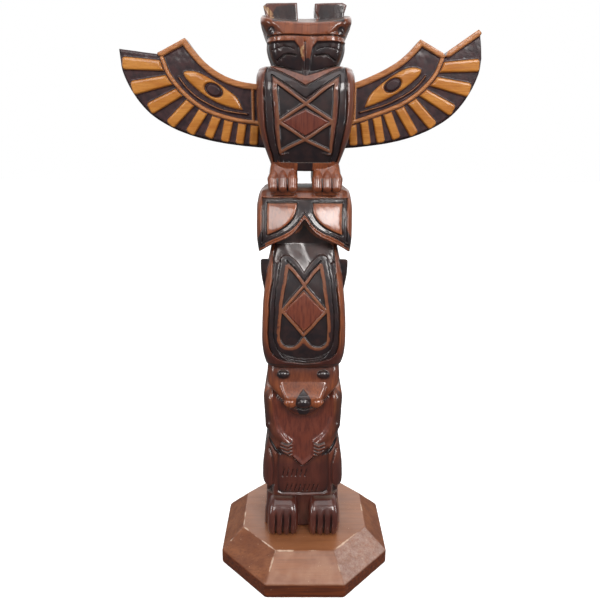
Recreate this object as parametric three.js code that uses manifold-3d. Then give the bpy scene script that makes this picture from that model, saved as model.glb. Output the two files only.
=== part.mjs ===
// Carved wooden totem pole: a thunderbird standing on a whale, on a bear, on a bevelled octagonal base.
// Millimetres, +Z up, the front faces -Y, and the origin is the middle of the base's underside.
import * as THREE from "three";
import { mergeVertices } from "three/addons/utils/BufferGeometryUtils.js";
import Module from "manifold-3d";

const wasm = await Module();
wasm.setup();

// ---------------------------------------------------------------- driving dimensions
const BASE = { half: 90, edge: 40, topHalf: 67, topEdge: 30.2, rim: 15.6, height: 38 };
const POLE_X = -2.3;
// Cutters reach from well before the pole to behind its rounded front corners.
const FRONT = -60;
const CUT_BACK = -20;
const GAP = 0.3;
const FOOT = BASE.height + GAP;
const WING = { front: -3, thickness: 16, relief: 1.8 };
const CARVE = { groove: 1.5, field: 1.6, deep: 2.6 };
const LINE = 2.6;

// Every carved block is a stack of rounded rectangles: height, half width, front and back.
const BIRD_HEAD = [
  [496.5, 27, -38, 36],
  [508, 29.6, -41, 38],
  [516, 32.8, -42.5, 40],
  [524, 34.2, -43, 41],
  [529.5, 33.2, -43, 41],
  [534, 35.6, -43, 41.5],
  [539, 38.2, -42.5, 42],
  [545, 38.8, -40.5, 41],
  [552.5, 36.5, -34, 36],
];
const BIRD_BODY = [
  [419.5, 29, -35, 32],
  [437, 35.2, -41, 39],
  [450, 39.6, -43.6, 43],
  [464, 42.2, -44.8, 44],
  [482, 43, -45, 44],
  [496, 43, -42.6, 44],
  [503.5, 41.6, -39, 43],
  [507.6, 38, -35.4, 41],
  [509, 33, -32, 37],
];
const BIRD_LEG = [
  [398, 11.6, -38, 30],
  [403, 12.6, -40, 31],
  [411, 12.4, -39, 31],
  [418, 9.6, -35.5, 29],
  [428, 9, -33, 27],
];
const FLUKES = [
  [345, 42.6, -43, 43],
  [356, 44, -45, 44],
  [372, 44.5, -46, 44],
  [386, 44.5, -45.6, 44],
  [396, 43.4, -43, 44],
  [401, 41.6, -38, 43],
  [404.5, 38.6, -27, 40],
];
const WHALE = [
  [226.4, 32, -30, 38],
  [230.6, 36.4, -38.5, 42],
  [238, 39, -43.2, 43.5],
  [250, 40.8, -45.7, 44],
  [272, 41, -46, 44],
  [290, 40.2, -44.6, 44],
  [310, 38.4, -41.5, 43],
  [332, 35.4, -36, 42],
  [352, 31.6, -30, 40],
  [384, 30, -26, 36],
];
const BEAR_HEAD = [
  [172, 20, -31, 30],
  [184, 29, -35, 36],
  [198, 35, -35.6, 40],
  [212, 36.6, -34.8, 42],
  [224, 36.6, -34.2, 42],
  [236, 35.4, -31, 40],
];
const BEAR_BODY = [
  [84, 37.4, -41, 40],
  [90, 40.4, -42.6, 42.5],
  [99, 42, -43, 44],
  [112, 42.2, -42.6, 44],
  [126, 41, -41.4, 44],
  [137, 39, -40, 43.5],
  [147.5, 36.8, -38.4, 42.5],
  [161, 38.6, -37, 43],
  [180, 40.4, -35.4, 43.5],
  [194, 40.4, -33.6, 43],
  [201.5, 37.4, -28, 41],
];
const SNOUT = [
  [175.5, 9, -39.5, 0],
  [181, 14.5, -43, 0],
  [188, 20.5, -45.4, 0],
  [198, 22.6, -46, 0],
  [206, 26, -42, 0],
  [214.5, 29.6, -36.6, 0],
];
const BEAR_FOOT = [
  [FOOT, 14.6, -45, 20],
  [43, 15.6, -46.8, 20],
  [62, 15.6, -46.4, 20],
  [69, 15.2, -44, 20],
  [77, 14.6, -37.5, 20],
  [90, 14.6, -33, 20],
];
const BEAR_LEGS = [
  [FOOT, 42, -29, 43],
  [50, 41.6, -29.4, 43],
  [66, 39.6, -30, 43],
  [104, 39, -31, 43],
];

// ---------------------------------------------------------------- joining and cutting
function toSolid(geometry) {
  const plain = geometry.clone();
  plain.deleteAttribute("normal");
  plain.deleteAttribute("uv");
  const merged = mergeVertices(plain, 1e-4);
  const mesh = new wasm.Mesh({
    numProp: 3,
    vertProperties: new Float32Array(merged.attributes.position.array),
    triVerts: new Uint32Array(merged.index.array),
  });
  return new wasm.Manifold(mesh);
}

const join = (solids) => solids.reduce((whole, next) => whole.add(next));

function toGeometry(solid) {
  const { vertProperties, triVerts, numProp } = solid.getMesh();
  const geometry = new THREE.BufferGeometry();
  const positions = new THREE.InterleavedBuffer(vertProperties, numProp);
  geometry.setAttribute("position", new THREE.InterleavedBufferAttribute(positions, 3, 0));
  geometry.setIndex(new THREE.BufferAttribute(triVerts, 1));
  return geometry;
}

// ---------------------------------------------------------------- shapes
const X_AXIS = new THREE.Vector3(1, 0, 0);
const Y_AXIS = new THREE.Vector3(0, 1, 0);
const Z_AXIS = new THREE.Vector3(0, 0, 1);
const SEEN_FROM_FRONT = new THREE.Matrix4().makeBasis(X_AXIS, Z_AXIS, Y_AXIS.clone().negate());
const SEEN_FROM_SIDE = new THREE.Matrix4().makeBasis(Y_AXIS, Z_AXIS, X_AXIS);

const point = ([u, v]) => new THREE.Vector2(u, v);
const mirror = (points) => points.map(([x, z]) => [-x, z]);

// An outline seen from the front (x, z), as thick as front to back.
function frontSlab(outline, front = FRONT, back = CUT_BACK) {
  const shape = outline instanceof THREE.Shape ? outline : new THREE.Shape(outline.map(point));
  const settings = { depth: back - front, bevelEnabled: false, curveSegments: 6 };
  const geometry = new THREE.ExtrudeGeometry(shape, settings);
  return toSolid(geometry.applyMatrix4(SEEN_FROM_FRONT)).translate([0, back, 0]);
}

// An outline seen from the side (y, z), from one x to another.
function sideSlab(outline, from, to) {
  const shape = new THREE.Shape(outline.map(point));
  const geometry = new THREE.ExtrudeGeometry(shape, { depth: to - from, bevelEnabled: false });
  return toSolid(geometry.applyMatrix4(SEEN_FROM_SIDE)).translate([from, 0, 0]);
}

// A line moved sideways; a closed line takes its last point as the one before its first.
function beside(points, offset, closed = false) {
  const line = points.map(point);
  const last = line.length - 1;
  return line.map((at, i) => {
    const before = line[i ? i - 1 : closed * last];
    const after = line[i < last ? i + 1 : last * !closed];
    const along = after.clone().sub(before).normalize();
    return [at.x - along.y * offset, at.y + along.x * offset];
  });
}

const strip = (points, width) => [
  ...beside(points, -width / 2), ...beside(points, width / 2).reverse(),
];

function curved(points, steps) {
  return new THREE.SplineCurve(points.map(point)).getPoints(steps).map(({ x, y }) => [x, y]);
}

const ringCut = (points, width) => frontSlab(beside(points, width / 2, true))
  .subtract(frontSlab(beside(points, -width / 2, true)));
const stroke = (points, width) => frontSlab(strip(points, width));
const strokes = (points, width) => stroke(points, width).add(stroke(mirror(points), width));
const rings = (points, width) => ringCut(points, width).add(ringCut(points, width).mirror([1, 0, 0]));
const fields = (points) => frontSlab(points).add(frontSlab(mirror(points)));
const through = (points) => join([points, mirror(points)].map((half) => frontSlab(half, FRONT, -FRONT)));

// A stack of outlines, each a list of as many (x, y) points, turned anticlockwise from the front.
function stack(levels) {
  const around = levels[0].outline.length;
  const geometry = new THREE.CylinderGeometry(1, 1, 1, around, levels.length - 1);
  const { position } = geometry.attributes;
  for (let i = 0; i < position.count; i += 1) {
    const [x, y, z] = [position.getX(i), position.getY(i), position.getZ(i)];
    const { outline, height } = levels[Math.round((y + 0.5) * (levels.length - 1))];
    const turn = Math.round((Math.atan2(x, z) / (2 * Math.PI)) * around);
    const middle = (outline[0].y + outline[around / 2].y) / 2;
    const at = Math.hypot(x, z) < 0.5 ? { x: 0, y: middle } : outline[(turn + around) % around];
    position.setXYZ(i, at.x, at.y, height);
  }
  return toSolid(geometry);
}

// A rounded rectangle, arc by arc from the front right corner.
function roundedOutline(half, front, back, corner, steps) {
  const arcs = [
    { x: half - corner, y: front + corner, from: -90 },
    { x: half - corner, y: back - corner, from: 0 },
    { x: corner - half, y: back - corner, from: 90 },
    { x: corner - half, y: front + corner, from: 180 },
  ];
  return arcs.flatMap(({ x, y, from }) => Array.from({ length: steps + 1 }, (_, i) => {
    const angle = THREE.MathUtils.degToRad(from + (90 * i) / steps);
    return { x: x + corner * Math.cos(angle), y: y + corner * Math.sin(angle) };
  }));
}

// A block through its sections, from the lowest up; inset gives its inner skin.
function block(sections, { corner, steps = 2, inset = 0 }) {
  return stack(sections.map(([height, half, front, back]) => ({
    height,
    outline: roundedOutline(half - inset, front + inset, back - inset, corner, steps),
  })));
}

// Sinks the cutters into a block, to an even depth below its skin.
function carve(sections, form, cuts) {
  const whole = block(sections, form);
  return cuts.reduce((left, { cutter, depth }) => {
    const inner = block(sections, { ...form, inset: depth });
    return left.subtract(cutter.subtract(inner));
  }, whole);
}

function ball(centre, radii, around = 10) {
  const geometry = new THREE.SphereGeometry(1, around, Math.round(around / 2));
  return toSolid(geometry.scale(...radii)).translate(centre);
}

function rod(from, to, radius, around = 6) {
  const [start, end] = [new THREE.Vector3(...from), new THREE.Vector3(...to)];
  const along = end.clone().sub(start);
  const geometry = new THREE.CapsuleGeometry(radius, along.length(), 2, around);
  const turn = new THREE.Quaternion().setFromUnitVectors(Y_AXIS, along.clone().normalize());
  const middle = start.add(end).multiplyScalar(0.5);
  return toSolid(geometry.applyQuaternion(turn)).translate(middle.toArray());
}

const pair = (make) => join([-1, 1].map(make));

// ---------------------------------------------------------------- the thunderbird
// The forehead's top edge sags between its corners, and the crown rises behind it.
const CROWN = { front: -43, height: 540, slope: 15, sag: [[20, 1], [38, 4], [50, 6]] };

function crownCutter() {
  const half = [[0, 0], ...CROWN.sag];
  const sag = curved([...mirror(half.slice(1)).reverse(), ...half], 12);
  return frontSlab([...sag, [50, 60], [-50, 60]], -6, 90)
    .rotate([CROWN.slope, 0, 0])
    .translate([0, CROWN.front, CROWN.height]);
}

function birdHead() {
  const noseSide = [[11, 527], [6.6, 521], [4.8, 514], [3.4, 506], [0, 498]];
  const nose = [...mirror(noseSide), ...noseSide.slice(0, -1).reverse()];
  const cheek = [[0, 526], [0, 488], [42, 488], [42, 526]];
  const brow = [[14, 531], [42, 531], [42, 547]];
  const crescent = curved([[8.4, 515.2], [16.5, 515.6], [24.5, 511.8]], 4);
  const face = carve(BIRD_HEAD, { corner: 13 }, [
    { cutter: fields(cheek).subtract(frontSlab(nose)), depth: CARVE.field },
    { cutter: fields(brow), depth: CARVE.field },
    { cutter: strokes(crescent, 1.6), depth: CARVE.field + CARVE.groove },
    { cutter: strokes([[0, 530.4], [40, 530.4]], 1.4), depth: CARVE.groove },
  ]);
  const chin = fields([[0, 480], [0, 499], [29, 507.6], [50, 511], [50, 480]]);
  const throat = chin.trimByPlane([0, -1, 0], 34);
  const eyes = pair((side) => ball([side * 29.5, -37.5, 534.4], [3.4, 3.4, 2.8]));
  return face.subtract(throat).subtract(crownCutter()).add(eyes);
}

// The two horns flare towards the top; the right one is notched at its inner foot.
function horns() {
  const left = [[-35.6, 540], [-34.6, 549], [-36.6, 555.6], [-33.6, 558], [-7.6, 558.6], [-6.4, 540]];
  const right = [[8.2, 540], [8.4, 545.6], [10.4, 547], [7.6, 552], [7.2, 558], [31, 558.6],
    [34.6, 556.8], [32.4, 550], [33, 540]];
  return frontSlab(left, -28, 6).add(frontSlab(right, -28, 6));
}

function birdBody() {
  const outerBand = curved([[34.5, 505], [35.2, 494], [35.4, 470], [33.2, 450], [26, 422]], 7);
  const innerBand = curved([[28.6, 499], [28, 470], [25.6, 446], [21.5, 424]], 4);
  const bars = [[[26, 496], [22.4, 436]], [[26, 495], [0, 476.5], [23.6, 461.5], [0, 447], [22.4, 436]]];
  const diamond = frontSlab([[0, 471.5], [19.6, 461.3], [0, 450.5], [-19.6, 461.3]]);
  const lattice = join([...bars.map((line) => strokes(line, LINE)), diamond]);
  const frame = fields([[0, 479.5], [27, 497], [23.6, 435], [0, 435]]);
  return carve(BIRD_BODY, { corner: 14 }, [
    { cutter: frame.subtract(lattice), depth: CARVE.field },
    { cutter: fields([[0, 443], [19, 433.4], [18.4, 417], [0, 417]]), depth: CARVE.field },
    { cutter: strokes(outerBand, 1.5), depth: CARVE.groove },
    { cutter: strokes(innerBand, 1.3), depth: CARVE.groove },
    { cutter: strokes([[0, 490.8], [34, 508]], 1.6), depth: CARVE.groove },
    { cutter: strokes([[0, 480.5], [29, 499.8]], 1.5), depth: CARVE.groove },
  ]);
}

function birdLeg(side) {
  const middle = side * 19.6;
  const leg = block(BIRD_LEG, { corner: 6 }).translate([middle, 0, 0]);
  const toes = [-8.6, 0.4, 9.2].map((across) => {
    const x = middle + side * across;
    return rod([x, -35, 413], [x, -39.5, 404], 3.8);
  });
  return join([leg, ...toes]);
}

// ---------------------------------------------------------------- the whale
// The drooping tail has two lobes, and their lower edges rise to a point between them.
const ARCH = [[0, 377], [3, 373.5], [8.5, 366], [16, 360], [25, 356], [34, 352], [46, 345.5]];
const LOBE = [[7.6, 391], [8.4, 381], [14.7, 371], [23, 365.5], [34.4, 361.5]];

function flukes() {
  const arch = curved(ARCH, 7);
  const panel = [...curved(LOBE, 5), [34.4, 391]].reverse();
  const band = arch.map(([x, z]) => [x, z + 7]);
  return carve(FLUKES, { corner: 7 }, [
    { cutter: strokes([[0, 395], [38.8, 395], [38.8, 350]], 1.4), depth: CARVE.groove },
    { cutter: rings(panel, 1.4), depth: CARVE.groove },
    { cutter: strokes(band, 1.4), depth: CARVE.groove },
  ]).subtract(through([...arch, [60, 330], [0, 330]]));
}

function whale() {
  const crest = curved([[0, 325], [7, 334], [13, 340], [17.4, 341.6], [21, 338]], 6);
  const cove = fields([...crest, [24.4, 345], [22, 380], [0, 380]]).trimByPlane([0, -1, 0], 27);
  const outer = [[25, 352], [30, 322], [33.4, 292], [34, 262], [30, 246.5], [17, 238.6], [0, 236.4]];
  const inner = [[22, 338], [26.2, 312], [28.4, 285], [28.4, 262], [23.5, 249.5], [13, 243.8],
    [0, 242.4]];
  const side = [[15.8, 332], [20, 307], [22.4, 290], [24, 268], [22.6, 258], [17.5, 253.2],
    [11, 252.8], [5, 256.4], [0, 263.5]];
  const bars = [curved([[0, 314.5], [8, 325], [15.8, 332.6]], 3), curved(side, 9),
    [[0, 314.5], [21, 290], [0, 266.5]]];
  const diamond = frontSlab([[0, 308.5], [18.4, 289.7], [0, 271], [-18.4, 289.7]]);
  const lattice = join([...bars.map((line) => strokes(line, LINE)), diamond]);
  const frame = fields([...bars[0], ...bars[1].slice(1)]);
  return carve(WHALE, { corner: 14 }, [
    { cutter: frame.subtract(lattice), depth: CARVE.field },
    { cutter: strokes(curved(outer, 7), 1.5), depth: CARVE.groove },
    { cutter: strokes(curved(inner, 7), 1.3), depth: CARVE.groove },
    { cutter: strokes(curved([[0, 318.4], [8, 329], [16, 336.4]], 3), 1.2), depth: CARVE.groove },
  ]).subtract(cove);
}

function fin(side) {
  const outline = [[-27, 337], [-10, 333], [8, 316], [20, 292], [22, 270], [12, 262], [-4, 274],
    [-18, 296], [-27, 318]];
  const [inner, outer] = side > 0 ? [30, 42] : [-42, -30];
  return sideSlab(curved([...outline, outline[0]], 18).slice(1), inner, outer);
}

// ---------------------------------------------------------------- the bear
function bearHead() {
  const mouth = curved([[-2, 187.4], [8, 187.6], [16, 190.4], [25, 195.4]], 5);
  const snout = carve(SNOUT, { corner: 8 }, [
    { cutter: strokes(mouth, 1.5), depth: CARVE.field },
  ]);
  const eyes = pair((side) => ball([side * 20.2, -33.4, 221.8], [6.9, 4.2, 6]));
  const nose = ball([-0.4, -42.4, 196.6], [9.6, 6.2, 8.8]);
  return join([block(BEAR_HEAD, { corner: 13 }), snout, eyes, nose]);
}

// Two rows of short slanting strokes stand in for the cut inscription on the belly.
function bellyStrokes() {
  const rows = [{ height: 112.5, from: -20, count: 6 }, { height: 95, from: -17, count: 8 }];
  return join(rows.flatMap(({ height, from, count }) => Array.from({ length: count }, (_, i) => {
    const x = from + i * 4.6;
    return stroke([[x - 1, height - 4], [x + 1, height + 4]], 1.1);
  })));
}

function bearBody() {
  const chest = [[0, 121.5], [11.5, 131.5], [12, 147], [21, 151], [27, 160], [31, 174], [31.5, 190],
    [31.5, 215], [0, 215]];
  const belly = [[0, 121], [12, 131], [27, 143], [27.4, 92], [24.4, 85.4], [0, 84.6]];
  const elbow = curved([[44, 160], [35, 151], [30, 141], [24, 134.4]], 4);
  return carve(BEAR_BODY, { corner: 14 }, [
    { cutter: fields(chest), depth: CARVE.field },
    { cutter: fields(belly), depth: 1 },
    { cutter: bellyStrokes(), depth: 1 + CARVE.groove / 2 },
    { cutter: strokes([[27.4, 144], [27.8, 92], [24.8, 84]], 1.4), depth: CARVE.deep },
    { cutter: strokes([[0, 121], [12, 131.4]], 1.2), depth: CARVE.deep },
    { cutter: strokes(elbow, 2.4), depth: CARVE.deep },
  ]);
}

function arm(side) {
  const elbow = [side * 31.8, -35, 159];
  const forearm = join([
    rod([side * 34.4, -29.4, 172], elbow, 5.4),
    rod(elbow, [side * 22, -37.6, 147.6], 5.3),
  ]);
  const fingers = [131.6, 135.8, 140, 144.2].map((height) => (
    rod([side * 12.6, -40.4, height], [side * 20.6, -40.2, height + 1.4], 1.95)
  ));
  return join([forearm, ...fingers]);
}

function bearFoot(side) {
  const grooves = join([-7.2, 0.3, 7.8].map((x) => stroke([[x, 30], [x, 67]], 1.7)));
  return carve(BEAR_FOOT, { corner: 6 }, [{ cutter: grooves, depth: CARVE.deep }])
    .translate([side * 21.8 + 0.9, 0, 0]);
}

function carvedPole() {
  return join([
    birdBody(), birdHead(), horns(), pair(birdLeg), flukes(), whale(), pair(fin), bearBody(),
    bearHead(), pair(arm), block(BEAR_LEGS, { corner: 9 }), pair(bearFoot),
  ]);
}

// ---------------------------------------------------------------- the wings
// Wing outlines run outwards from the pole, as (distance, height); each side stretches them.
const ROOT = 42;
const BOX_CORNER = [131.2, 524];
const TRAILING = [[30, 439], [62, 441.6], [87, 445.4], [108, 450.6], [127, 458.2], [146, 470.4],
  [160, 487.5], [168.4, 506], [170, 520]];
const RIB = [[30, 461], [46, 462.4], [64, 464.8], [80, 468.8], [94, 474.2], [107, 483.2], [117, 493],
  [125.6, 504.6], [130.8, 518]];
const LEADING = [[30, 495.6], [48, 496.7], [64, 499.6], [78, 505.2], [90.6, 513.8], [101, 524.6],
  [109, 535]];
const LEAF = [[58.3, 473.6], [63, 483.8], [73, 491.8], [86, 500], [100, 506.4], [111, 506.4],
  [109, 500], [96, 488.4], [82, 480.2], [68, 475.4], [58.3, 473.6]];
const UNDER_LEAF = [[54, 470], [66, 471.4], [78, 473.8], [89, 478.4], [100, 484.6], [109, 492.4],
  [116, 501.4]];
// Each feather: its middle at the root and at the tip, and half its width there.
const FEATHERS = [
  { root: [47.2, 460], tip: [48.7, 442.2], half: [3.8, 4] },
  { root: [58.6, 462.4], tip: [62.1, 443], half: [3.9, 3.9] },
  { root: [71.4, 464.6], tip: [75.9, 445], half: [4.2, 4] },
  { root: [82.4, 468], tip: [91.3, 448.6], half: [4.2, 4.2] },
  { root: [94.4, 473.2], tip: [108.8, 452.4], half: [4.4, 4.4] },
  { root: [105.6, 481], tip: [127, 460], half: [4.5, 4.7] },
  { root: [115, 489.6], tip: [145.4, 473.8], half: [4.1, 5.4] },
  { root: [122.6, 499.8], tip: [160.4, 492], half: [4.4, 6.2] },
  { root: [130.4, 511.6], tip: [167.4, 513.6], half: [4.3, 5.6] },
];

function featherOutline({ root, tip, half }) {
  const [start, end] = [point(root), point(tip)];
  const along = end.clone().sub(start).normalize();
  const across = new THREE.Vector2(along.y, -along.x);
  const corner = 0.42 * half[1];
  const at = (base, out, side) => {
    const spot = base.clone().addScaledVector(along, out).addScaledVector(across, side);
    return [spot.x, spot.y];
  };
  return [
    at(start, 0, -half[0]), at(end, -corner, -half[1]), at(end, 0, corner - half[1]),
    at(end, 0, half[1] - corner), at(end, -corner, half[1]), at(start, 0, half[0]),
  ];
}

// The right wing is bowed up a little more than the left one between its root and its box corner.
function wing({ side, stretch, bow, tip }) {
  const bowed = (points, reach = BOX_CORNER[0]) => points.map(([distance, height]) => {
    const along = THREE.MathUtils.clamp((distance - ROOT) / (reach - ROOT), 0, 1);
    return [distance, height + bow * Math.sin(Math.PI * along)];
  });
  const place = ([distance, height]) => [side * stretch * distance, height];
  const slab = (points, front, back) => frontSlab(points.map(place), front, back);
  const field = WING.front + WING.relief;
  const leading = curved(bowed(LEADING, LEADING.at(-1)[0]), 8);
  const outline = [...leading, BOX_CORNER, ...tip, ...curved(TRAILING, 16).reverse()];
  const plate = slab(outline, field, WING.front + WING.thickness);
  const raise = (points) => slab(points, WING.front, field + 1);
  const raised = [
    strip(beside(leading, -2.6), 6.4),
    strip([[106, 533.4], [131.4, 522]], 5),
    strip(curved(bowed(RIB), 9), 3.2),
    strip([[48.6, 464], [48.6, 492]], 2.4),
    strip(curved(bowed(UNDER_LEAF), 6), 1.6),
    ...FEATHERS.map(featherOutline),
  ];
  const pupil = new THREE.EllipseCurve(84.6, 490.8, 9, 5.8, 0, 2 * Math.PI, false, 0.44).getPoints(10);
  const ring = strip(bowed(pupil.map(({ x, y }) => [x, y])), 1.4);
  const eye = raise(curved(bowed(LEAF), 14).slice(1)).subtract(slab(ring, FRONT, -FRONT));
  const body = block(BIRD_BODY, { corner: 14, inset: -GAP }).add(
    block([[400, 43, -45, 44], [600, 43, -45, 44]], { corner: 14, inset: -GAP })
      .intersect(sideSlab([[-60, 462], [60, 462], [60, 600], [-60, 600]], -60, 60)),
  );
  const whole = join([plate, ...raised.map(raise), eye]).intersect(slab(outline, FRONT, -FRONT));
  return whole.subtract(body);
}

// The right wing keeps the bar along the top of its tip; the left one has lost it along the grain.
const LEFT = {
  side: -1,
  stretch: 1,
  bow: 0,
  tip: [[136, 522.2], [170.4, 526.2]],
};
const RIGHT = {
  side: 1,
  stretch: 0.955,
  bow: 5.2,
  tip: [[134, 521.4], [136, 525.4], [163.6, 543.4], [166.8, 540.4], [168.8, 530]],
};

// ---------------------------------------------------------------- the base
function base() {
  const octagon = (half, edge) => [[edge, -half], [half, -edge], [half, edge], [edge, half],
    [-edge, half], [-half, edge], [-half, -edge], [-edge, -half]].map(point);
  return stack([
    { height: 0, outline: octagon(BASE.half, BASE.edge) },
    { height: BASE.rim, outline: octagon(BASE.half, BASE.edge) },
    { height: BASE.height, outline: octagon(BASE.topHalf, BASE.topEdge) },
  ]);
}

// ---------------------------------------------------------------- the scene
const STAINED = { color: 0x7a4526, roughness: 0.32, metalness: 0 };
const HONEY = { color: 0xb98038, roughness: 0.4, metalness: 0 };
const WALNUT = { color: 0x8a5a38, roughness: 0.5, metalness: 0 };

function piece(name, solid, finish, x = 0) {
  const mesh = new THREE.Mesh(toGeometry(solid), new THREE.MeshStandardMaterial(finish));
  mesh.name = name;
  mesh.position.x = x;
  return mesh;
}

const totem = new THREE.Group();
totem.add(
  piece("base", base(), WALNUT),
  piece("carved_pole", carvedPole(), STAINED, POLE_X),
  piece("left_wing", wing(LEFT), HONEY, POLE_X),
  piece("right_wing", wing(RIGHT), HONEY, POLE_X),
);

export default totem;
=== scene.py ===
"""Carved wooden totem pole: the finish of the pole, its two wings and its base.

Shapes are worked out in millimetres as signed distances, negative inside the wood. x runs from the
middle of the pole, z up from the floor, and the carved front faces -y. Meshes are made in metres.
"""
import math

import bpy
import numpy as np
import openvdb
from mathutils import Matrix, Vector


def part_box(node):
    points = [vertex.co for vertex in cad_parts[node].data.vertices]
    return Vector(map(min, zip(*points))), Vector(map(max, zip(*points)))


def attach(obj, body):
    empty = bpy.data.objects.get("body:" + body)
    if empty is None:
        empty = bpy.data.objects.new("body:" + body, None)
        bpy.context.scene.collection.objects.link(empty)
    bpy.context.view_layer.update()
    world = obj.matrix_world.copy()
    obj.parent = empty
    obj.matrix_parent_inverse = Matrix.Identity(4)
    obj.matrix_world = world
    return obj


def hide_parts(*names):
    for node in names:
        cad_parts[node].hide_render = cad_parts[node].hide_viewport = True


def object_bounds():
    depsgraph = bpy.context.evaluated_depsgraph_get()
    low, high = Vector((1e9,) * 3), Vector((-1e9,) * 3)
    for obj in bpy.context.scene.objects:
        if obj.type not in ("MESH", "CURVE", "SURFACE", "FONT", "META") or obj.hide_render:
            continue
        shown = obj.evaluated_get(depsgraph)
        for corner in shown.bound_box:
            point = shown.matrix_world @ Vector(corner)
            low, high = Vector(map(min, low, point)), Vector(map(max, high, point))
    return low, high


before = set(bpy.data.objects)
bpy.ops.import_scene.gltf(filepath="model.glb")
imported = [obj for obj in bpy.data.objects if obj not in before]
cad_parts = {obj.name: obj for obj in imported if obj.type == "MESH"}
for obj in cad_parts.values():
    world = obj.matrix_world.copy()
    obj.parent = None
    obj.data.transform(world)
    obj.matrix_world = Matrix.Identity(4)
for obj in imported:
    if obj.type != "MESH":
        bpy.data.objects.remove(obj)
CAD_BOX = [list(corner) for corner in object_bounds()]

MM = 0.001
FAR = 30.0
(POLE_LOW, POLE_HIGH), (LEFT_LOW, LEFT_HIGH), (RIGHT_LOW, RIGHT_HIGH), (BASE_LOW, BASE_HIGH) = (
    [np.array(corner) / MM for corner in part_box(node)]
    for node in ("carved_pole", "left_wing", "right_wing", "base"))
POLE_X = (POLE_LOW[0] + POLE_HIGH[0]) / 2
FOOT = POLE_LOW[2]

# Cuts, in millimetres: how deep a groove, a sunk field, the bear's belly and the cut below its
# hips go, and how wide a raised line is.
GROOVE = 1.7
FIELD = 1.7
BELLY = 2.4
HIP = 9
LINE = 2.5


# ---------------------------------------------------------------- camera, light and floor
# The camera stands where the picture was taken from: place in millimetres, angles in degrees.
CAMERA = {"place": (-5.9, -536.2, 439.6), "turn": 0.346, "down": 15.696, "roll": 0.333, "lens": 32.42}


def make_camera():
    data = bpy.data.cameras.new("camera")
    camera = bpy.data.objects.new("camera", data)
    bpy.context.scene.collection.objects.link(camera)
    bpy.context.scene.camera = camera
    data.sensor_width = 36
    data.lens = CAMERA["lens"]
    place = Matrix.Translation([c * MM for c in CAMERA["place"]])
    turn = Matrix.Rotation(-math.radians(CAMERA["turn"]), 4, "Z")
    pitch = Matrix.Rotation(math.radians(90 - CAMERA["down"]), 4, "X")
    roll = Matrix.Rotation(math.radians(CAMERA["roll"]), 4, "Z")
    camera.matrix_world = turn @ place @ pitch @ roll
    data.clip_start, data.clip_end = 0.01, 50


def make_light(name, azimuth, elevation, distance, size, power, colour=(1, 1, 1)):
    """A soft box, aimed at the middle of the pole from that direction, in degrees and metres."""
    data = bpy.data.lights.new(name, "AREA")
    data.shape = "RECTANGLE"
    data.size, data.size_y = size
    data.energy = power
    data.color = colour
    light = bpy.data.objects.new(name, data)
    bpy.context.scene.collection.objects.link(light)
    azimuth, elevation = math.radians(azimuth), math.radians(elevation)
    away = np.array([math.sin(azimuth) * math.cos(elevation),
                     -math.cos(azimuth) * math.cos(elevation), math.sin(elevation)])
    light.location = (np.array([0, 0, 0.3]) + away * distance).tolist()
    aim = Matrix.Rotation(azimuth, 4, "Z") @ Matrix.Rotation(math.radians(90) - elevation, 4, "X")
    light.rotation_euler = aim.to_euler()


def make_world():
    """White to the camera. For reflections it is bright high behind the object and dim elsewhere."""
    world = bpy.data.worlds.new("studio")
    bpy.context.scene.world = world
    world.use_nodes = True
    tree = world.node_tree
    shade = tree.nodes["Background"]
    shade.inputs["Color"].default_value = (1, 1, 1, 1)
    place = tree.nodes.new("ShaderNodeTexCoord")
    split = tree.nodes.new("ShaderNodeSeparateXYZ")
    tree.links.new(place.outputs["Generated"], split.inputs[0])

    def ramp(value, start, end, low, high):
        made = tree.nodes.new("ShaderNodeMapRange")
        made.interpolation_type = "SMOOTHSTEP"
        for name, number in (("From Min", start), ("From Max", end), ("To Min", low), ("To Max", high)):
            made.inputs[name].default_value = number
        tree.links.new(value, made.inputs["Value"])
        return made.outputs[0]

    def combined(operation, a, b):
        made = tree.nodes.new("ShaderNodeMath")
        made.operation = operation
        tree.links.new(a, made.inputs[0])
        tree.links.new(b, made.inputs[1])
        return made.outputs[0]
    behind = ramp(split.outputs[1], -0.1, 0.6, 0, 1.5)
    high = ramp(split.outputs[2], 0.05, 0.55, 0, 1)
    dim = ramp(split.outputs[2], -0.6, 0.5, 0.1, 0.24)
    rays = tree.nodes.new("ShaderNodeLightPath").outputs["Is Camera Ray"]
    light = combined("ADD", combined("MULTIPLY", behind, high), dim)
    tree.links.new(combined("MAXIMUM", rays, light), shade.inputs["Strength"])


def make_floor():
    bpy.ops.mesh.primitive_plane_add(size=14, location=(0, 0, 0))
    floor = bpy.context.object
    floor.name = "floor"
    floor.visible_glossy = False
    floor.visible_diffuse = False
    material = bpy.data.materials.new("floor")
    material.use_nodes = True
    shader = material.node_tree.nodes["Principled BSDF"]
    shader.inputs["Base Color"].default_value = (0.88, 0.88, 0.88, 1)
    shader.inputs["Roughness"].default_value = 0.8
    shader.inputs["Emission Color"].default_value = (1, 1, 1, 1)
    shader.inputs["Emission Strength"].default_value = 0.6
    floor.data.materials.append(material)


def make_studio():
    bpy.context.scene.view_settings.view_transform = "Standard"
    make_world()
    make_floor()
    make_light("window", 21, 26, 1.7, (0.66, 0.5), 13, (1, 0.97, 0.95))
    make_light("lamp", -20, 26, 1.7, (0.62, 0.5), 7, (1, 0.96, 0.93))
    make_light("ceiling", 0, 64, 1.6, (1.6, 1.2), 8)
    make_light("left", -62, 12, 1.8, (0.25, 1.0), 6)
    make_light("right", 70, 12, 1.8, (0.25, 1.0), 7)


# ---------------------------------------------------------------- working with distances
def eased(start, end, value):
    """0 before start, 1 after end, and smooth between them."""
    t = np.clip((value - start) / (end - start), 0, 1)
    return t * t * (3 - 2 * t)


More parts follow.
